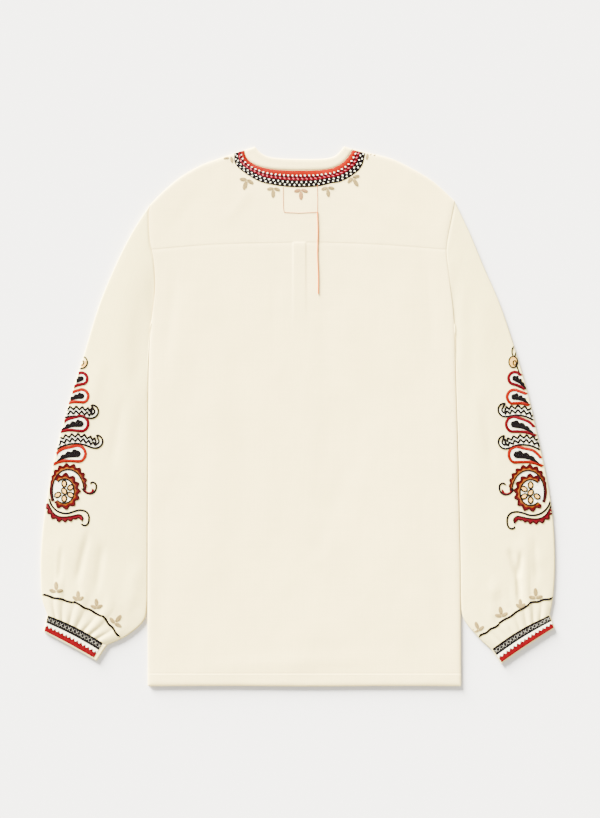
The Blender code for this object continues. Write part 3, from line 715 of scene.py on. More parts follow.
class Stitches:
    """Straight stitches, each with its ends in the plan, its width, its colour and how far it stands up."""

    def __init__(self, surfaces):
        self.surfaces = [SURFACES[name] for name in surfaces]
        self.rows = []

    def add(self, start, end, colour, width=0.72, lift=0.3, rise=0.1):
        shade = 1 + 0.09 * chance.standard_normal()
        self.rows.append((*start, *end, width, lift, rise, *[min(1, max(0, c * shade)) for c in colour]))

    def height(self, x, y):
        best = None
        for surface in self.surfaces:
            hit = surface.ray_cast(Vector((x * MM, y * MM, 0.05)), Vector((0, 0, -1)))[0]
            if hit is not None and (best is None or hit.z > best):
                best = hit.z
        return best

    def outline(self, points, colour, width=1.6, pitch=0.62, slant=0.55, lift=0.35, thread=0.72, rise=0.1):
        """A cord of short slanting stitches over a line."""
        p = evenly(points, pitch)
        along = np.gradient(p, axis=0)
        along /= np.maximum(np.linalg.norm(along, axis=1), 1e-9)[:, None]
        half = np.column_stack([-along[:, 1], along[:, 0]]) * (width - thread) / 2
        lean = along * width * slant / 2
        for at, side, lead in zip(p, half, lean):
            self.add(at - side - lead, at + side + lead, colour, thread, lift, rise)

    def fill(self, polygon, colour, angle=0.0, pitch=0.62, lift=0.25, thread=0.74, longest=9.0, rise=0.1):
        """Satin stitches side by side inside an outline."""
        turn = np.array([[np.cos(angle), -np.sin(angle)], [np.sin(angle), np.cos(angle)]])
        p = np.array(polygon) @ turn
        following = np.roll(p, -1, axis=0)
        for level in np.arange(p[:, 1].min() + pitch / 2, p[:, 1].max(), pitch):
            crosses = (p[:, 1] > level) != (following[:, 1] > level)
            a, b = p[crosses], following[crosses]
            xs = np.sort(a[:, 0] + (level - a[:, 1]) / (b[:, 1] - a[:, 1]) * (b[:, 0] - a[:, 0]))
            for x0, x1 in zip(xs[::2], xs[1::2]):
                if x1 - x0 < 0.5:
                    continue
                cuts = np.linspace(x0, x1, 1 + int(np.ceil((x1 - x0) / longest)))
                cuts[1:-1] += chance.uniform(-1, 1, len(cuts) - 2)
                for s, e in zip(cuts, cuts[1:]):
                    wobble = chance.normal(0, 0.08, 2)
                    self.add(turn @ (s + wobble[0], level), turn @ (e + wobble[1], level), colour, thread, lift, rise)

    def make(self, name, material):
        """Lays the stitches on the cloth and gives each its thread."""
        points, edges, radii, colours = [], [], [], []
        for x0, y0, x1, y1, width, lift, rise, red, green, blue in self.rows:
            spots = [(x0, y0), ((x0 + x1) / 2, (y0 + y1) / 2), (x1, y1)]
            heights = [self.height(*spot) for spot in spots]
            if None in heights or abs(heights[0] - heights[2]) > 2.2 * MM:
                continue
            first = len(points)
            for (x, y), z, up in zip(spots, heights, (rise, lift, rise)):
                points.append((x * MM, y * MM, z + up * MM))
                radii.append(width / 2 * MM)
                colours.append((red, green, blue, 1))
            edges += [(first, first + 1), (first + 1, first + 2)]
        mesh = bpy.data.meshes.new(name)
        mesh.from_pydata(points, edges, [])
        radius = mesh.attributes.new("thread_radius", "FLOAT", "POINT")
        radius.data.foreach_set("value", radii)
        shade = mesh.attributes.new("thread_colour", "FLOAT_COLOR", "POINT")
        shade.data.foreach_set("color", np.array(colours, np.float32).ravel())
        obj = add_piece(name, mesh, material)
        grow(obj, stitch_tree(), {"Sides": 5, "Thread": material})
        return obj


def socket_in(tree, name, kind, default=None):
    socket = tree.interface.new_socket(name, in_out="INPUT", socket_type=kind)
    if default is not None:
        socket.default_value = default
    return socket


def wire(tree, source, output, target, slot_in):
    tree.links.new(source.outputs[output], target.inputs[slot_in])


def finish_tree(tree, last, output):
    realize = tree.nodes.new("GeometryNodeRealizeInstances")
    coat = tree.nodes.new("GeometryNodeSetMaterial")
    leave = tree.nodes.new("NodeGroupOutput")
    wire(tree, last, output, realize, "Geometry")
    wire(tree, realize, "Geometry", coat, "Geometry")
    wire(tree, tree.nodes["Group Input"], "Thread", coat, "Material")
    wire(tree, coat, "Geometry", leave, 0)
    return tree


def stitch_tree():
    """Gives each straight stitch a round thread, from the radius it carries."""
    known = bpy.data.node_groups.get("Satin stitches")
    if known:
        return known
    tree = bpy.data.node_groups.new("Satin stitches", "GeometryNodeTree")
    tree.interface.new_socket("Geometry", in_out="OUTPUT", socket_type="NodeSocketGeometry")
    socket_in(tree, "Geometry", "NodeSocketGeometry")
    socket_in(tree, "Sides", "NodeSocketInt", 5)
    socket_in(tree, "Thread", "NodeSocketMaterial")
    enter = tree.nodes.new("NodeGroupInput")
    to_curve = tree.nodes.new("GeometryNodeMeshToCurve")
    carried = tree.nodes.new("GeometryNodeInputNamedAttribute")
    carried.data_type = "FLOAT"
    carried.inputs["Name"].default_value = "thread_radius"
    ring = tree.nodes.new("GeometryNodeCurvePrimitiveCircle")
    ring.inputs["Radius"].default_value = 1.0
    tube = tree.nodes.new("GeometryNodeCurveToMesh")
    tube.inputs["Fill Caps"].default_value = True
    wire(tree, enter, "Geometry", to_curve, "Mesh")
    wire(tree, to_curve, "Curve", tube, "Curve")
    wire(tree, carried, "Attribute", tube, "Scale")
    wire(tree, enter, "Sides", ring, "Resolution")
    wire(tree, ring, "Curve", tube, "Profile Curve")
    return finish_tree(tree, tube, "Mesh")


def running_tree():
    """Sets short stitches along paths, at an even pitch."""
    known = bpy.data.node_groups.get("Running stitches")
    if known:
        return known
    tree = bpy.data.node_groups.new("Running stitches", "GeometryNodeTree")
    tree.interface.new_socket("Geometry", in_out="OUTPUT", socket_type="NodeSocketGeometry")
    socket_in(tree, "Geometry", "NodeSocketGeometry")
    socket_in(tree, "Pitch", "NodeSocketFloat", 3.0 * MM)
    socket_in(tree, "Stitch size", "NodeSocketVector")
    socket_in(tree, "Thread", "NodeSocketMaterial")
    enter = tree.nodes.new("NodeGroupInput")
    to_curve = tree.nodes.new("GeometryNodeMeshToCurve")
    spots = tree.nodes.new("GeometryNodeCurveToPoints")
    spots.mode = "LENGTH"
    grain = tree.nodes.new("GeometryNodeMeshUVSphere")
    grain.inputs["Segments"].default_value = 6
    grain.inputs["Rings"].default_value = 5
    grain.inputs["Radius"].default_value = 0.5
    smooth = tree.nodes.new("GeometryNodeSetShadeSmooth")
    each = tree.nodes.new("GeometryNodeInstanceOnPoints")
    wire(tree, enter, "Geometry", to_curve, "Mesh")
    wire(tree, to_curve, "Curve", spots, "Curve")
    wire(tree, enter, "Pitch", spots, "Length")
    wire(tree, grain, "Mesh", smooth, "Geometry")
    wire(tree, spots, "Points", each, "Points")
    wire(tree, smooth, "Geometry", each, "Instance")
    wire(tree, spots, "Rotation", each, "Rotation")
    wire(tree, enter, "Stitch size", each, "Scale")
    return finish_tree(tree, each, "Instances")


def grow(obj, tree, values):
    """Runs a tree on a piece and keeps the result as its plain mesh."""
    modifier = obj.modifiers.new("Grow", "NODES")
    modifier.node_group = tree
    for socket in tree.interface.items_tree:
        if socket.in_out == "INPUT" and socket.name in values:
            modifier[socket.identifier] = values[socket.name]
    depsgraph = bpy.context.evaluated_depsgraph_get()
    mesh = bpy.data.meshes.new_from_object(obj.evaluated_get(depsgraph), depsgraph=depsgraph)
    obj.modifiers.remove(modifier)
    before = obj.data
    obj.data = mesh
    bpy.data.meshes.remove(before)
    mesh.name = obj.name
    mesh.shade_smooth()


def on_cloth(points, surfaces, rise, pitch=1.0):
    """A line in the plan laid on the cloth."""
    helper = Stitches(surfaces)
    laid = []
    for x, y in evenly(points, pitch):
        z = helper.height(x, y)
        if z is not None:
            laid.append((x * MM, y * MM, z + rise * MM))
    return laid


def running_stitches(name, lines, material, pitch=3.2, length=2.3, width=0.5):
    """Top stitching along lines: each a pair of its points in the plan and the cloth that it lies on."""
    points, edges = [], []
    for line, surfaces in lines:
        laid = on_cloth(line, surfaces, -0.08)
        edges += [(len(points) + i, len(points) + i + 1) for i in range(len(laid) - 1)]
        points += laid
    mesh = bpy.data.meshes.new(name)
    mesh.from_pydata(points, edges, [])
    obj = add_piece(name, mesh, material)
    size = (width * MM, width * MM, length * MM)
    grow(obj, running_tree(), {"Pitch": pitch * MM, "Stitch size": size, "Thread": material})
    return obj


# ---- Embroidered shapes ----------------------------------------------------------------------------------------


def dots(points):
    return np.array([place(*point) for point in points])


def smooth(points, count=60):
    return curve_through(dots(points))(np.linspace(0, 1, count))


def ellipse(centre, half_along, half_across, angle=0.0, count=26):
    turn = np.linspace(0, 2 * np.pi, count, endpoint=False)
    along = np.array([np.cos(angle), np.sin(angle)])
    side = np.array([-along[1], along[0]])
    return np.array(centre) + np.outer(np.cos(turn) * half_along, along) + np.outer(np.sin(turn) * half_across, side)


def closed(points):
    return np.vstack([points, points[:1]])


def bowed(points, head, tip, bend, upper_extra=0.0, radius=1.0):
    """Points of a tapering shape moved upwards along the middle of its tail, those of its upper side further."""
    reach = np.linalg.norm(tip - head)
    ahead = (tip - head) / reach
    up = np.array([-ahead[1], ahead[0]])
    up *= np.sign(up[1])
    along = np.clip((points - head) @ ahead / reach, 0, 1)
    high = 1 + upper_extra * np.clip((points - head) @ up / radius * 1.6, 0, 1)
    return points + np.outer(bend * high * np.sin(np.pi * along) ** 1.3, up)


def paisley(head, radius, tip, bend=0.0, count=40):
    """A round head drawn out to a point, its tail bowed upwards by the given distance."""
    head, tip = np.array(head, float), np.array(tip, float)
    reach = np.linalg.norm(tip - head)
    way = np.arctan2(*(tip - head)[::-1])
    touch = np.arccos(min(0.98, radius / reach))
    turns = np.linspace(way + touch, way + 2 * np.pi - touch, count)
    arc = head + radius * np.column_stack([np.cos(turns), np.sin(turns)])
    shares = np.linspace(0, 1, 14)[1:, None]
    out = arc[-1] + (tip - arc[-1]) * shares
    back = tip + (arc[0] - tip) * shares[:-1]
    return bowed(np.vstack([arc, out, back]), head, tip, bend, 0.7, radius)


def scalloped_wedge(head, radius, tip, bend):
    """The dark heart of a paisley: a blunt head, a scalloped upper edge and a smooth lower one."""
    head, tip = np.array(head, float), np.array(tip, float)
    ahead = tip - head
    up = np.array([-ahead[1], ahead[0]]) / np.linalg.norm(ahead)
    up *= np.sign(up[1])
    share = np.linspace(0, 1, 40)[:, None]
    scallops = 0.86 + 0.75 * np.abs(np.sin(3.6 * np.pi * (share + 0.08))) ** 0.8
    upper = head + ahead * share + up * radius * 0.82 * (1 - share) ** 0.6 * scallops
    lower = head + ahead * share - up * radius * 0.9 * (1 - share) ** 0.8
    turn = np.linspace(-np.pi / 2, np.pi / 2, 12)[1:-1, None]
    back = -ahead / np.linalg.norm(ahead)
    blunt = head + radius * 0.86 * (back * np.cos(turn) + up * np.sin(turn))
    return bowed(np.vstack([upper, lower[::-1], blunt]), head, tip, bend)


def zigzag(points, height, pitch, base):
    """A toothed line at a distance from a smooth one, its teeth to the left for a positive height."""
    p = evenly(points, pitch / 2)
    return shifted(p, base + np.where(np.arange(len(p)) % 2 == 1, height, 0))


def arcs(start, heading, steps, side=1):
    """A line of arcs from a point: each step gives its length and its turn to the left in degrees."""
    points = [np.array(start, float)]
    way = np.radians(heading)
    for length, turn in steps:
        count = max(3, int(length / 0.8))
        half_turn = np.radians(turn) / count / 2
        for _ in range(count):
            way += half_turn
            points.append(points[-1] + length / count * np.array([side * np.cos(way), np.sin(way)]))
            way += half_turn
    return np.array(points)


BLACK_LINE = 3.7
PAISLEY_LINE = 5.4
GROUND_LIFT = -0.12


def embroider_paisley(stitches, head, radius, tip, colour, bend):
    head, tip = np.array(head, float), np.array(tip, float)
    ground = paisley(head, radius - 0.8, tip, bend)
    stitches.fill(ground, WHITE, angle=0.2, lift=GROUND_LIFT, pitch=0.7, rise=GROUND_LIFT)
    stitches.outline(closed(paisley(head, radius, tip, bend)), colour, width=PAISLEY_LINE, lift=0.45, rise=0.2)
    core = scalloped_wedge(head, radius * 0.5, head + (tip - head) * 0.74, bend * 0.7)
    stitches.fill(core, BLACK, angle=np.pi / 2, lift=0.45, rise=0.3)


LEAF_TOOTH = 5.6
LEAF_PITCH = 8.0
LEAF_LINES = (3.4, 10.2)
LEAF_NECK = (8, 16)
LEAF_CURL = [(17, 88), (13, 80), (3, 25)]
LEAF_CURL_BAND = 5.6


def embroider_leaf(stitches, leaf, side):
    """A bowed stem line that ends in a curl, and above it two toothed lines, on white."""
    root = place(leaf.root_x, leaf.root_y)
    stem_steps = [(leaf.run, leaf.bend), LEAF_NECK]
    stem = arcs(root, leaf.heading, stem_steps, side)
    whole = arcs(root, leaf.heading, stem_steps + LEAF_CURL, side)
    inner = arcs(root, leaf.heading, stem_steps + [LEAF_CURL[0]], side)
    near, far = (side * distance for distance in LEAF_LINES)
    ground = np.vstack([shifted(stem, far * 1.2), whole[: len(inner)][::-1]])
    stitches.fill(ground, WHITE, angle=np.pi / 2, lift=GROUND_LIFT, pitch=0.7, rise=GROUND_LIFT)
    tooth = side * LEAF_TOOTH
    middle = zigzag(stem, tooth, LEAF_PITCH, near)
    curl = shifted(inner, side * LEAF_CURL_BAND)[len(stem):]
    upper = np.vstack([zigzag(stem, tooth, LEAF_PITCH, far), curl, whole[-1:]])
    for line in (whole, middle, upper):
        stitches.outline(line, BLACK, width=BLACK_LINE, lift=0.5, rise=0.25)


BAND_PITCH = 0.46


def toothed_band(stitches, inner, widths, teeth, tooth_pitch, side, near_colour=GOLD, far_colour=DEEP_RED, share=0.4):
    """A band between a smooth inner line and a toothed outer one, in two colours with dark lines."""
    p = evenly(inner, BAND_PITCH)
    along = np.linspace(0, 1, len(p))
    wide = np.interp(along, np.linspace(0, 1, len(widths)), widths)
    tooth = np.interp(along, np.linspace(0, 1, len(teeth)), teeth)
    phase = (np.arange(len(p)) * BAND_PITCH / tooth_pitch) % 1
    saw = 1 - np.abs(2 * phase - 1)
    outer = shifted(p, side * (wide + tooth * saw))
    middle = shifted(p, side * (wide * share + tooth * saw * 0.45))
    for a, m, b in zip(p, middle, outer):
        stitches.add(a, m, near_colour, lift=0.35, rise=0.2)
        stitches.add(m, b, far_colour, lift=0.35, rise=0.2)
    stitches.outline(p, BLACK, width=2.9, lift=0.55, rise=0.35)
    stitches.outline(outer, OUTLINE_RED, width=3.6, lift=0.55, slant=0.2, rise=0.35)


def arc_round(centre, half_x, half_y, first, last, count=120):
    turn = np.radians(np.linspace(first, last, count))
    return centre + np.column_stack([half_x * np.cos(turn), half_y * np.sin(turn)])


def round_arc(arc):
    """The line of an Arc row."""
    return arc_round(
        place(arc.x, arc.y), arc.half_x * MM_PER_DOT, arc.half_y * MM_PER_DOT, arc.first, arc.last,
    )


FLOWER_RING = 11.6
FLOWER_PETAL = (5.0, 3.5)
FLOWER_TILT = -55


def embroider_medallion(stitches, ring, crest, side):
    """A flower inside a toothed ring that is open towards the fold, and a toothed crest over both."""
    centre = place(ring.x, ring.y)
    crest_line = round_arc(crest)
    below = arc_round(centre, 15.0, 18.5, 60, -120, 40)
    if side < 0:
        below = arc_round(centre, 15.0, 18.5, 120, 300, 40)
    ground = np.vstack([crest_line[:100], below])
    stitches.fill(ground, WHITE, lift=GROUND_LIFT, pitch=0.7, rise=GROUND_LIFT)
    toothed_band(stitches, round_arc(ring), [3.4, 4.2, 4.2, 4.2, 3.4], [5.4] * 2, 8.4, side=side)
    spots = [(0.0, 0.0, FLOWER_TILT)]
    for angle in range(90, -151, -60):
        way = np.radians(angle)
        spots.append((FLOWER_RING * np.cos(way), FLOWER_RING * np.sin(way), angle))
    for across, up, lie in spots:
        way = np.arctan2(np.sin(np.radians(lie)), side * np.cos(np.radians(lie)))
        petal = ellipse(centre + (side * across, up), *FLOWER_PETAL, way)
        stitches.fill(petal, PETAL, angle=way, lift=0.35, rise=0.15)
        stitches.outline(closed(petal), BLACK, width=3.3, lift=0.5, thread=0.65, rise=0.3)
    toothed_band(stitches, crest_line, CREST_WIDTHS, CREST_TEETH, 7.9, side=side)
    end = crest_line[-1]
    stitches.outline(arcs(end, -62, CREST_CURL_RED, side), CRIMSON, width=4.4, lift=0.45)
    stitches.outline(arcs(end + (-2.4 * side, 2.0), -66, CREST_CURL_BLACK, side), BLACK, width=BLACK_LINE, lift=0.5)


FOOT_PITCH = 8.2
FOOT_WIDTHS = [3.4, 3.0, 3.0, 3.2, 4.4, 4.8]
FOOT_TEETH_HIGH = [2.0, 5.0, 5.0, 4.6, 0, 0]
# Arcs of the foot leaf and of the crest's curl: length of each, and its turn to the left in degrees
FOOT_LINE = [(36, 80), (10, 24), (10, -10), (10, -30), (11, -60), (11, -30), (8, -75), (5, -60)]
FOOT_TEETH = [(14, 8), (18, 55), (12, 14), (13, 2), (9, -75), (7, -80)]
FOOT_TEETH_FROM = (-2.4, -6.6)
CREST_CURL_BLACK = [(15, 62), (11, 70), (8, 34), (7, 75), (5, 70)]
CREST_CURL_RED = [(8, 45), (7, 60), (5, 60)]


def embroider_foot_leaf(stitches, foot, side):
    """A black line with a curl, and below it a toothed crimson band that ends in a knob."""
    start = place(foot.x, foot.y)
    line = arcs(start, -82, [(length * foot.size, turn) for length, turn in FOOT_LINE], side)
    stitches.outline(line, BLACK, width=BLACK_LINE, lift=0.45)
    across, up = FOOT_TEETH_FROM
    base = arcs(start + (side * across, up), -66, [(length * foot.size, turn) for length, turn in FOOT_TEETH], side)
    toothed_band(stitches, base, FOOT_WIDTHS, FOOT_TEETH_HIGH, FOOT_PITCH, -side, CRIMSON, CRIMSON)


def petals(stitches, rows, colour=None):
    """Small tan petals: each row gives a centre, half its length and breadth in dots, and its lie in degrees."""
    for x, y, long, broad, degrees in rows:
        shape = ellipse(place(x, y), long * MM_PER_DOT, broad * MM_PER_DOT, np.radians(degrees))
        stitches.fill(shape, colour or TAN, angle=np.radians(degrees + 35), lift=0.25, pitch=0.6)


def trefoil(stitches, foot, degrees, size=1.0, colour=None, spread=68):
    """Two petals hug the border and one points away from it."""
    rows = []
    for turn, out, long, broad in ((spread, 3.8, 3.5, 1.8), (-spread, 3.8, 3.5, 1.8), (0, 6.4, 4.2, 2.0)):
        way = np.radians(degrees + turn)
        x, y = foot[0] + np.cos(way) * out * size, foot[1] - np.sin(way) * out * size
        rows.append((x, y, long * size, broad * size, degrees + turn * 1.1))
    petals(stitches, rows, colour)


NECK_BORDER_EDGE = [
    (-98.5, 408.5), (-97.6, 392.5), (-89, 382.1), (-74, 371.6), (-57.1, 362.6), (-30.8, 357.0),
    (-5, 354.6), (29.4, 355.6), (51.8, 360.6), (66.9, 363.4), (85.6, 373.6), (98.8, 386.8), (105.0, 408.5),
]
NECK_PITCH = 6.6


def embroider_neck(material):
    stitches = Stitches(["yoke_cloth", "neck_band_back_cloth"])
    upper = curve_through(NECK_SEAM)
    lower = curve_through(NECK_BORDER_EDGE)
    run = length_of(upper(np.linspace(0, 1, 60))) * 1.12

    def at(t, w):
        return upper(t) + (lower(t) - upper(t)) * w

    def rows_between(w0, w1, colour, pitch=0.6, lift=0.3, rise=0.1, gap=0.0):
        for t in np.arange(0.004, 0.996, pitch / run):
            if (t * run / NECK_PITCH) % 1 >= gap:
                stitches.add(at(t, w0), at(t, w1), colour, lift=lift, rise=rise)

    def spots(w, half_long, half_w, colour, offset, slant=0.0):
        half_t, lean = half_long / run, slant / run
        for k in range(int(run / NECK_PITCH) + 2):
            t = (k + offset) * NECK_PITCH / run
            corners = [(t - half_t, w), (t - lean, w - half_w), (t + half_t, w), (t + lean, w + half_w)]
            if 0.01 < t < 0.99:
                polygon = np.array([at(ct, cw) for ct, cw in corners])
                away = at(t, 1) - at(t, 0)
                way = np.arctan2(away[1], away[0])
                stitches.fill(polygon, colour, angle=way, lift=0.6, pitch=0.55, thread=0.66, rise=0.4)

    rows_between(0.025, 0.32, ORANGE)
    rows_between(0.32, 0.61, CRIMSON)
    rows_between(0.38, 0.45, BLACK, lift=0.4, rise=0.3, gap=0.3)
    rows_between(0.61, 1.0, BLACK)
    spots(0.33, 1.35, 0.055, WHITE, 0.0)
    spots(0.51, 1.5, 0.07, PINK, 0.25, slant=1.0)
    spots(0.71, 1.15, 0.058, WHITE, 0.0)
    spots(0.875, 1.15, 0.058, WHITE, 0.5)

    trefoil(stitches, (300.9, 189.6), -90, colour=ROSE_TAN)
    trefoil(stitches, (273.6, 188.0), -94, 0.95)
    trefoil(stitches, (327.6, 187.2), -86, 0.95)
    trefoil(stitches, (247.2, 179.4), -108, 1.05)
    trefoil(stitches, (352.2, 177.6), -58, 1.0)
    petals(stitches, [(231.8, 160.0, 3.2, 1.5, -80), (226.4, 158.4, 2.8, 1.2, 10)])
    petals(stitches, [(367.0, 157.0, 3.2, 1.3, 80), (372.6, 155.0, 2.8, 1.1, 0)])
    return stitches.make("neck_embroidery", material)


# Sleeve motif: a row for each shape, its place in dots of the picture, its runs in mm and its turns in degrees
Paisley = namedtuple("Paisley", "head_x head_y radius tip_x tip_y colour_name bend")
Leaf = namedtuple("Leaf", "root_x root_y heading run bend")
Arc = namedtuple("Arc", "x y half_x half_y first last")
Foot = namedtuple("Foot", "x y size")
Loop = namedtuple("Loop", "x y half_x half_y filled")
Trefoil = namedtuple("Trefoil", "foot_x foot_y degrees size spread")
Motif = namedtuple("Motif", "side paisleys leaves ring crest foot bud stem gather_line trefoils")

LEFT_MOTIF = Motif(
    side=1,
    paisleys=[
        Paisley(81.6, 378.6, 5.9, 68.0, 391.0, "crimson", 2.4),
        Paisley(82.0, 396.0, 6.5, 61.5, 405.5, "orange", 3.2),
        Paisley(80.8, 423.6, 7.6, 53.5, 433.6, "crimson", 3.6),
        Paisley(77.6, 453.6, 8.1, 47.5, 466.6, "orange", 5.0),
    ],
    leaves=[Leaf(63.6, 417.6, 14, 36, -28), Leaf(56.6, 449.4, 34, 54, -58)],
    ring=Arc(64.6, 491.0, 9.9, 12.2, 130, -134),
    crest=Arc(68.4, 491.0, 15.8, 21.6, 206, 4),
    foot=Foot(49.8, 498.8, 1.0),
    bud=[Loop(81.6, 362.3, 6.0, 6.2, True), Loop(82.4, 362.8, 1.6, 2.2, False)],
    stem=None,
    gather_line=[(41.7, 594.3), (73.5, 601.6), (102.2, 615.2), (119.5, 635.5)],
    trefoils=[
        Trefoil(56.5, 591.8, 90, 1.0, 70),
        Trefoil(78.4, 600.4, 90, 0.95, 50),
        Trefoil(97.0, 608.2, 93, 0.95, 58),
        Trefoil(114.5, 623.4, 52, 1.05, 70),
    ],
)
RIGHT_MOTIF = Motif(
    side=-1,
    paisleys=[
        Paisley(514.4, 378.3, 6.2, 530.0, 393.5, "crimson", 2.4),
        Paisley(513.8, 396.8, 7.0, 534.6, 408.0, "orange", 3.6),
        Paisley(513.4, 424.2, 7.6, 541.6, 438.4, "crimson", 4.2),
        Paisley(516.4, 454.6, 8.0, 548.5, 469.0, "orange", 5.4),
    ],
    leaves=[Leaf(534.2, 421.2, 38, 40, -52), Leaf(541.4, 451.4, 40, 50, -64)],
    ring=Arc(530.2, 492.5, 10.6, 12.9, 50, 314),
    crest=Arc(527.6, 492.0, 16.2, 21.6, -26, 176),
    foot=Foot(550.2, 499.4, 1.1),
    bud=[
        Loop(512.9, 362.0, 4.4, 5.6, True),
        Loop(513.6, 351.6, 2.0, 4.6, False),
        Loop(514.4, 363.0, 1.5, 2.2, False),
    ],
    stem=(516.6, 366.0),
    gather_line=[(552.5, 597.2), (528.4, 603.4), (498.4, 623.6), (477.9, 637.1)],
    trefoils=[
        Trefoil(535.4, 598.2, 93, 1.0, 70),
        Trefoil(520.4, 608.0, 95, 0.9, 42),
        Trefoil(501.4, 616.6, 100, 1.0, 60),
        Trefoil(478.8, 630.8, 112, 0.95, 60),
    ],
)
CREST_WIDTHS = [2.4, 2.8, 3.0, 3.6, 4.2, 4.4, 4.2, 3.8, 3.2, 2.4]
CREST_TEETH = [0, 0, 0, 2.4, 5.0, 5.2, 5.2, 4.8, 3.8, 0]
STEM = [(8, 8), (6, 10)]
GATHER_RIPPLE = 0.7
GATHER_JOG = 1.9


def gather_lines(corners):
    """The dark line above the gathers: one stretch for each pair of corners, each jogging where the cloth folds."""
    for start, end in zip(corners, corners[1:]):
        p = evenly([place(*start), place(*end)], 1.0)
        share = np.linspace(0, 1, len(p))
        ripple = np.sin(share * 4 * np.pi) * GATHER_RIPPLE * np.sin(share * np.pi)
        yield shifted(p, ripple + GATHER_JOG * (0.5 - share))


def embroider_sleeve(name, surface, material, motif):
    stitches = Stitches([surface])
    side = motif.side
    for leaf in motif.leaves:
        embroider_leaf(stitches, leaf, side)
    for row in motif.paisleys:
        embroider_paisley(
            stitches, place(row.head_x, row.head_y), row.radius * MM_PER_DOT, place(row.tip_x, row.tip_y),
            {"crimson": CRIMSON, "orange": ORANGE}[row.colour_name], row.bend,
        )
    embroider_medallion(stitches, motif.ring, motif.crest, side)
    embroider_foot_leaf(stitches, motif.foot, side)
    for loop in motif.bud:
        shape = ellipse(place(loop.x, loop.y), loop.half_x * MM_PER_DOT, loop.half_y * MM_PER_DOT)
        if loop.filled:
            stitches.fill(shape, PETAL, lift=0.2)
        stitches.outline(closed(shape), BLACK, width=2.8, lift=0.45, rise=0.2)
    if motif.stem:
        stitches.outline(arcs(place(*motif.stem), -76, STEM, -side), BLACK, width=2.8, lift=0.45, rise=0.2)
    for line in gather_lines(motif.gather_line):
        stitches.outline(line, BLACK, width=4.1, lift=0.4, slant=0.9)
    for row in motif.trefoils:
        trefoil(stitches, (row.foot_x, row.foot_y), row.degrees, row.size, spread=row.spread)
    return stitches.make(name, material)


CUFF_DEEP = 26.3
CUFF_PITCH = 6.7
# Bands of a cuff: where each starts and ends below the sleeve's seam
BLACK_BAND = (0.4, 11.8)
WHITE_BAND = (12.0, 17.8)
RED_BAND = (17.8, 24.4)
LATTICE = (3.4, 8.6)
LATTICE_THREAD = 0.28
LATTICE_REACH = 0.38
TOOTH_TIP = 14.4


def embroider_cuff(name, surface, line, material, start, end):
    """Bands round the wrist: a black one with a white lattice, a white one, and a toothed red one."""
    stitches = Stitches([surface])
    run = length_of(line(0.3)(np.linspace(0, 1, 40)))

    def at(share, depth):
        return line(depth / CUFF_DEEP)(share)

    for band, colour, lift in ((BLACK_BAND, BLACK, 0.3), (WHITE_BAND, WHITE, 0.15), (RED_BAND, CUFF_RED, 0.3)):
        for share in np.arange(start, end, 0.6 / run):
            middle = (band[0] + band[1]) / 2
            stitches.add(at(share, band[0]), at(share, middle + 0.5), colour, lift=lift)
            stitches.add(at(share, middle - 0.5), at(share, band[1]), colour, lift=lift)
    pitch = CUFF_PITCH / run
    high_line, low_line = LATTICE
    for k in range(int((end - start) / pitch + 0.3)):
        first, middle, last = (min(end, start + (k + step) * pitch) for step in (0, 0.5, 1))
        for a, b in (((-1, high_line), (1, low_line)), ((-1, low_line), (1, high_line))):
            ends = [at(middle + side * LATTICE_REACH * CUFF_PITCH / run, depth) for side, depth in (a, b)]
            halfway = (ends[0] + ends[1]) / 2
            stitches.add(ends[0], halfway, LATTICE_WHITE, width=LATTICE_THREAD, lift=0.6, rise=0.5)
            stitches.add(halfway, ends[1], LATTICE_WHITE, width=LATTICE_THREAD, lift=0.6, rise=0.5)
        tooth = np.array([at(first, RED_BAND[0] + 0.4), at(middle, TOOTH_TIP), at(last, RED_BAND[0] + 0.4)])
        away = at(middle, RED_BAND[1]) - at(middle, 0)
        stitches.fill(tooth, DARK_RED, angle=np.arctan2(away[1], away[0]), lift=0.45, rise=0.2)
    return stitches.make(name, material)


# ---- Finishes --------------------------------------------------------------------------------------------------


def new_material(name):
    material = bpy.data.materials.new(name)
    material.use_nodes = True
    tree = material.node_tree
    return material, tree, tree.nodes["Principled BSDF"]


def node(tree, kind, **inputs):
    made = tree.nodes.new(kind)
    for name, value in inputs.items():
        made.inputs[name.replace("_", " ")].default_value = value
    return made


def maths(tree, operation, first, second):
    made = tree.nodes.new("ShaderNodeMath")
    made.operation = operation
    for index, value in enumerate((first, second)):
        if hasattr(value, "is_output"):
            tree.links.new(value, made.inputs[index])
        else:
            made.inputs[index].default_value = value
    return made.outputs[0]


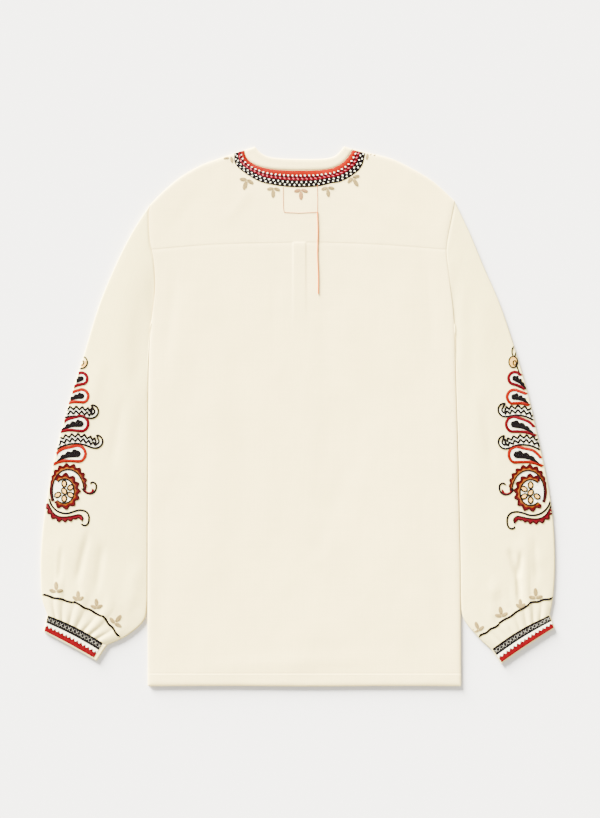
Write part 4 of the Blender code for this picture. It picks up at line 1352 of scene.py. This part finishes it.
def linen(name, colour, thread_pitch=0.75, mottle=0.075):
    """Plain-woven linen: over and under threads, uneven slubs both ways, and a faint cloudiness."""
    material, tree, shader = new_material(name)
    place_in_cloth = node(tree, "ShaderNodeUVMap")
    place_in_cloth.uv_map = "weave"
    parts = node(tree, "ShaderNodeSeparateXYZ")
    tree.links.new(place_in_cloth.outputs["UV"], parts.inputs[0])
    turns = 2 * np.pi / (thread_pitch * MM)
    warp = maths(tree, "SINE", maths(tree, "MULTIPLY", parts.outputs["X"], turns), 0.0)
    weft = maths(tree, "SINE", maths(tree, "MULTIPLY", parts.outputs["Y"], turns), 0.0)
    weave = maths(tree, "MULTIPLY", warp, weft)
    slubs = []
    for stretch in ((9.0, 420.0, 1.0), (420.0, 9.0, 1.0)):
        spread = node(tree, "ShaderNodeMapping", Scale=stretch)
        tree.links.new(place_in_cloth.outputs["UV"], spread.inputs["Vector"])
        grain = node(tree, "ShaderNodeTexNoise", Scale=1.0, Detail=3.0, Roughness=0.6)
        tree.links.new(spread.outputs["Vector"], grain.inputs["Vector"])
        slubs.append(maths(tree, "SUBTRACT", grain.outputs[0], 0.5))
    slub = maths(tree, "ADD", slubs[0], slubs[1])
    cloud = node(tree, "ShaderNodeTexNoise", Scale=14.0, Detail=4.0, Roughness=0.55)
    tree.links.new(place_in_cloth.outputs["UV"], cloud.inputs["Vector"])
    tone = maths(tree, "MULTIPLY", maths(tree, "SUBTRACT", cloud.outputs[0], 0.5), mottle * 2)
    tone = maths(tree, "ADD", tone, maths(tree, "MULTIPLY", slub, 0.10))
    # The weave's height also tints the colour a little: painted light on the raised crossings and painted shade where
    # the threads dip.
    tone = maths(tree, "ADD", tone, maths(tree, "MULTIPLY", weave, 0.02))
    strength = maths(tree, "ADD", tone, 1.0)
    tint = node(tree, "ShaderNodeVectorMath")
    tint.operation = "SCALE"
    tint.inputs[0].default_value = colour
    tree.links.new(strength, tint.inputs["Scale"])
    tree.links.new(tint.outputs[0], shader.inputs["Base Color"])
    relief = maths(tree, "ADD", maths(tree, "MULTIPLY", weave, 0.06), maths(tree, "MULTIPLY", slub, 0.10))
    bump = node(tree, "ShaderNodeBump", Strength=0.5, Distance=1.0 * MM)
    tree.links.new(relief, bump.inputs["Height"])
    tree.links.new(bump.outputs["Normal"], shader.inputs["Normal"])
    shader.inputs["Roughness"].default_value = 0.88
    shader.inputs["Sheen Weight"].default_value = 0.03
    shader.inputs["Sheen Roughness"].default_value = 0.6
    shader.inputs["Specular IOR Level"].default_value = 0.1
    return material


def thread(name, colour=None, shine=0.5):
    """Embroidery cotton or sewing thread, from the colour that each stitch carries or from one of its own."""
    material, tree, shader = new_material(name)
    spot = node(tree, "ShaderNodeTexCoord")
    grain = node(tree, "ShaderNodeTexNoise", Scale=900.0, Detail=2.0)
    tree.links.new(spot.outputs["Object"], grain.inputs["Vector"])
    strength = maths(tree, "ADD", maths(tree, "MULTIPLY", grain.outputs[0], 0.36), 0.82)
    tint = node(tree, "ShaderNodeVectorMath")
    tint.operation = "SCALE"
    if colour is None:
        carried = node(tree, "ShaderNodeAttribute")
        carried.attribute_name = "thread_colour"
        tree.links.new(carried.outputs["Color"], tint.inputs[0])
    else:
        tint.inputs[0].default_value = colour
    tree.links.new(strength, tint.inputs["Scale"])
    tree.links.new(tint.outputs[0], shader.inputs["Base Color"])
    bump = node(tree, "ShaderNodeBump", Strength=0.3, Distance=0.2 * MM)
    tree.links.new(grain.outputs[0], bump.inputs["Height"])
    tree.links.new(bump.outputs["Normal"], shader.inputs["Normal"])
    shader.inputs["Roughness"].default_value = shine
    shader.inputs["Specular IOR Level"].default_value = 0.03
    return material


def pale_floor():
    material, tree, shader = new_material("pale_floor")
    spot = node(tree, "ShaderNodeTexCoord")
    grain = node(tree, "ShaderNodeTexNoise", Scale=3.0, Detail=3.0)
    tree.links.new(spot.outputs["Object"], grain.inputs["Vector"])
    tint = node(tree, "ShaderNodeVectorMath")
    tint.operation = "SCALE"
    tint.inputs[0].default_value = FLOOR
    tree.links.new(maths(tree, "ADD", maths(tree, "MULTIPLY", grain.outputs[0], 0.01), 0.995), tint.inputs["Scale"])
    tree.links.new(tint.outputs[0], shader.inputs["Base Color"])
    shader.inputs["Roughness"].default_value = 0.95
    shader.inputs["Specular IOR Level"].default_value = 0.0
    return material


# ---- Camera, floor and light -----------------------------------------------------------------------------------


def make_stage():
    bpy.ops.mesh.primitive_plane_add(size=12)
    floor = bpy.context.object
    floor.name = "floor"
    floor.location.z = -0.0004
    floor.data.materials.append(pale_floor())

    lens = 85.0
    sensor = 36.0
    view = bpy.data.cameras.new("camera")
    view.lens = lens
    view.sensor_width = sensor
    view.clip_end = 50
    camera = bpy.data.objects.new("camera", view)
    middle = place(PICTURE_SIZE[0] / 2, PICTURE_SIZE[1] / 2) * MM
    tall = PICTURE_SIZE[1] * MM_PER_DOT * MM
    camera.location = (middle[0], middle[1], tall * lens / sensor)
    bpy.context.scene.collection.objects.link(camera)
    bpy.context.scene.camera = camera

    sun = bpy.data.lights.new("window", "SUN")
    sun.energy = 71.0
    sun.angle = np.radians(28)
    lamp = bpy.data.objects.new("window", sun)
    lamp.rotation_euler = Vector((0.50, -0.80, -0.25)).to_track_quat("-Z", "Y").to_euler()
    bpy.context.scene.collection.objects.link(lamp)

    world = bpy.data.worlds.new("studio")
    bpy.context.scene.world = world
    world.use_nodes = True
    sky = world.node_tree.nodes["Background"]
    sky.inputs["Color"].default_value = (1.0, 0.995, 0.985, 1)
    sky.inputs["Strength"].default_value = 1.35


# ---- The blouse ------------------------------------------------------------------------------------------------

make_stage()
body_linen = linen("cream_linen", LINEN)
sleeve_linen = linen("cream_linen_sleeves", SLEEVE_LINEN)
front_linen = linen("cream_linen_front", SLEEVE_LINEN)
embroidery_thread = thread("embroidery_cotton")
seam_thread = thread("sewing_cotton", SEAM_THREAD, 0.7)
label_thread = thread("pale_rose_thread", LABEL_THREAD, 0.6)
tail_thread = thread("orange_thread", TAIL_THREAD, 0.6)

armhole_left = curve_through(ARMHOLE_LEFT)
armhole_right = curve_through(ARMHOLE_RIGHT)
cuff_line_left = cuff_reader(SLEEVE_LEFT, SIDE_LEFT, CUFF_EDGE_LEFT, -1)
cuff_line_right = cuff_reader(SLEEVE_RIGHT, SIDE_RIGHT, CUFF_EDGE_RIGHT, 1)

front = make_front(front_linen, armhole_left, armhole_right)
band_left = make_front_band("neck_band_front_left_cloth", body_linen, -1)
band_right = make_front_band("neck_band_front_right_cloth", body_linen, 1)
back = make_back(body_linen, armhole_left, armhole_right)
yoke = make_yoke(body_linen, armhole_left, armhole_right)
neck_band = make_neck_band(body_linen)
sleeve_left = make_sleeve(
    "sleeve_left_cloth", sleeve_linen, SLEEVE_LEFT, GATHERS_LEFT, CREASES_LEFT, armhole_left, SIDE_LEFT, -1,
)
sleeve_right = make_sleeve(
    "sleeve_right_cloth", sleeve_linen, SLEEVE_RIGHT, GATHERS_RIGHT, CREASES_RIGHT, armhole_right, SIDE_RIGHT, 1,
)
cuff_left = make_cuff("cuff_left_cloth", sleeve_linen, cuff_line_left)
cuff_right = make_cuff("cuff_right_cloth", sleeve_linen, cuff_line_right)

neck_work = embroider_neck(embroidery_thread)
sleeve_work_left = embroider_sleeve(
    "sleeve_left_embroidery", "sleeve_left_cloth", embroidery_thread, LEFT_MOTIF,
)
sleeve_work_right = embroider_sleeve(
    "sleeve_right_embroidery", "sleeve_right_cloth", embroidery_thread, RIGHT_MOTIF,
)
cuff_work_left = embroider_cuff("cuff_left_embroidery", "cuff_left_cloth", cuff_line_left, embroidery_thread, 0.014, 0.93)
cuff_work_right = embroider_cuff("cuff_right_embroidery", "cuff_right_cloth", cuff_line_right, embroidery_thread, 0.014, 0.985)

body = ["back_cloth", "yoke_cloth", "neck_band_back_cloth"]
hem = np.column_stack([np.linspace(-229, 249.5, 40), np.full(40, HEM_Y + HEM_DEPTH - 1.6)])
yoke_top = shifted(curve_through(YOKE_SEAM)(np.linspace(0.006, 0.994, 80)), 2.4)
neckline = curve_through(NECKLINE)(np.linspace(0.01, 0.99, 80))
neck_seam = curve_through(NECK_SEAM)(np.linspace(0.01, 0.99, 80))
seams = running_stitches("top_stitching", [
    (hem, body),
    (yoke_top, body),
    (shifted(neckline, -2.2), body),
    (shifted(neck_seam, 1.4), body),
    (shifted(armhole_left(np.linspace(0.02, 0.97, 60)), 2.2), body),
    (shifted(armhole_right(np.linspace(0.02, 0.97, 60)), -2.2), body),
    (cuff_line_left(0.955)(np.linspace(0.02, 0.985, 40)), ["cuff_left_cloth"]),
    (cuff_line_right(0.955)(np.linspace(0.02, 0.985, 40)), ["cuff_right_cloth"]),
], seam_thread)
label_box = dots([(283.2, 188.0), (283.4, 208), (284.2, 212.6), (299, 213.4), (317.4, 212.4), (317.6, 200), (317.3, 186.0)])
label = running_stitches("label_outline", [(label_box, body)], label_thread, pitch=1.7, length=1.75, width=1.6)

TAIL_DIAMETER = 1.7
TAIL_SPOTS = [(317.4, 212.2), (317.9, 232), (317.5, 254), (318.3, 276), (318.2, 294)]
tail_run = curve_through(dots(TAIL_SPOTS))(np.linspace(0, 1, 60))
tail_path = on_cloth(tail_run, body, 0.9, pitch=2.0)
tail_curve = bpy.data.curves.new("thread_tail", "CURVE")
tail_curve.dimensions = "3D"
tail_curve.bevel_depth = TAIL_DIAMETER / 2 * MM
tail_curve.bevel_resolution = 2
tail_curve.use_fill_caps = True
spline = tail_curve.splines.new("POLY")
spline.points.add(len(tail_path) - 1)
for point, spot in zip(spline.points, tail_path):
    point.co = (*spot, 1)
tail_curve.materials.append(tail_thread)
tail = bpy.data.objects.new("thread_tail", tail_curve)
bpy.context.scene.collection.objects.link(tail)
PIECES.append((tail, "cream_linen"))

for piece, slot in PIECES:
    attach(piece, "root")

STANDS_FOR = [
    (front, "front", (0.486, 0.830), 0.375, "the surface", []),
    (back, "back", (0.486, 0.690), 0.330, "front", [seams]),
    (yoke, "yoke", (0.475, 0.158), 0.062, "front", [neck_work, label]),
    (neck_band, "neck_band_back", (0.172, 0.040), 0.0029, "front", []),
    (band_left, "neck_band_front_left", (0.105, 0.085), 0.0027, "the surface", []),
    (band_right, "neck_band_front_right", (0.105, 0.085), 0.0027, "the surface", []),
    (sleeve_left, "sleeve_left", (0.420, 0.560), 0.150, "the surface", [sleeve_work_left]),
    (sleeve_right, "sleeve_right", (0.400, 0.560), 0.140, "the surface", [sleeve_work_right]),
    (cuff_left, "cuff_left", (0.210, 0.027), None, "the surface", [cuff_work_left]),
    (cuff_right, "cuff_right", (0.212, 0.027), None, "the surface", [cuff_work_right]),
]
for piece, cad_node, flat, area, rests_on, laid_on_it in STANDS_FOR:
    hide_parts(cad_node)
    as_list(laid_on_it)

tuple(tail_path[0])
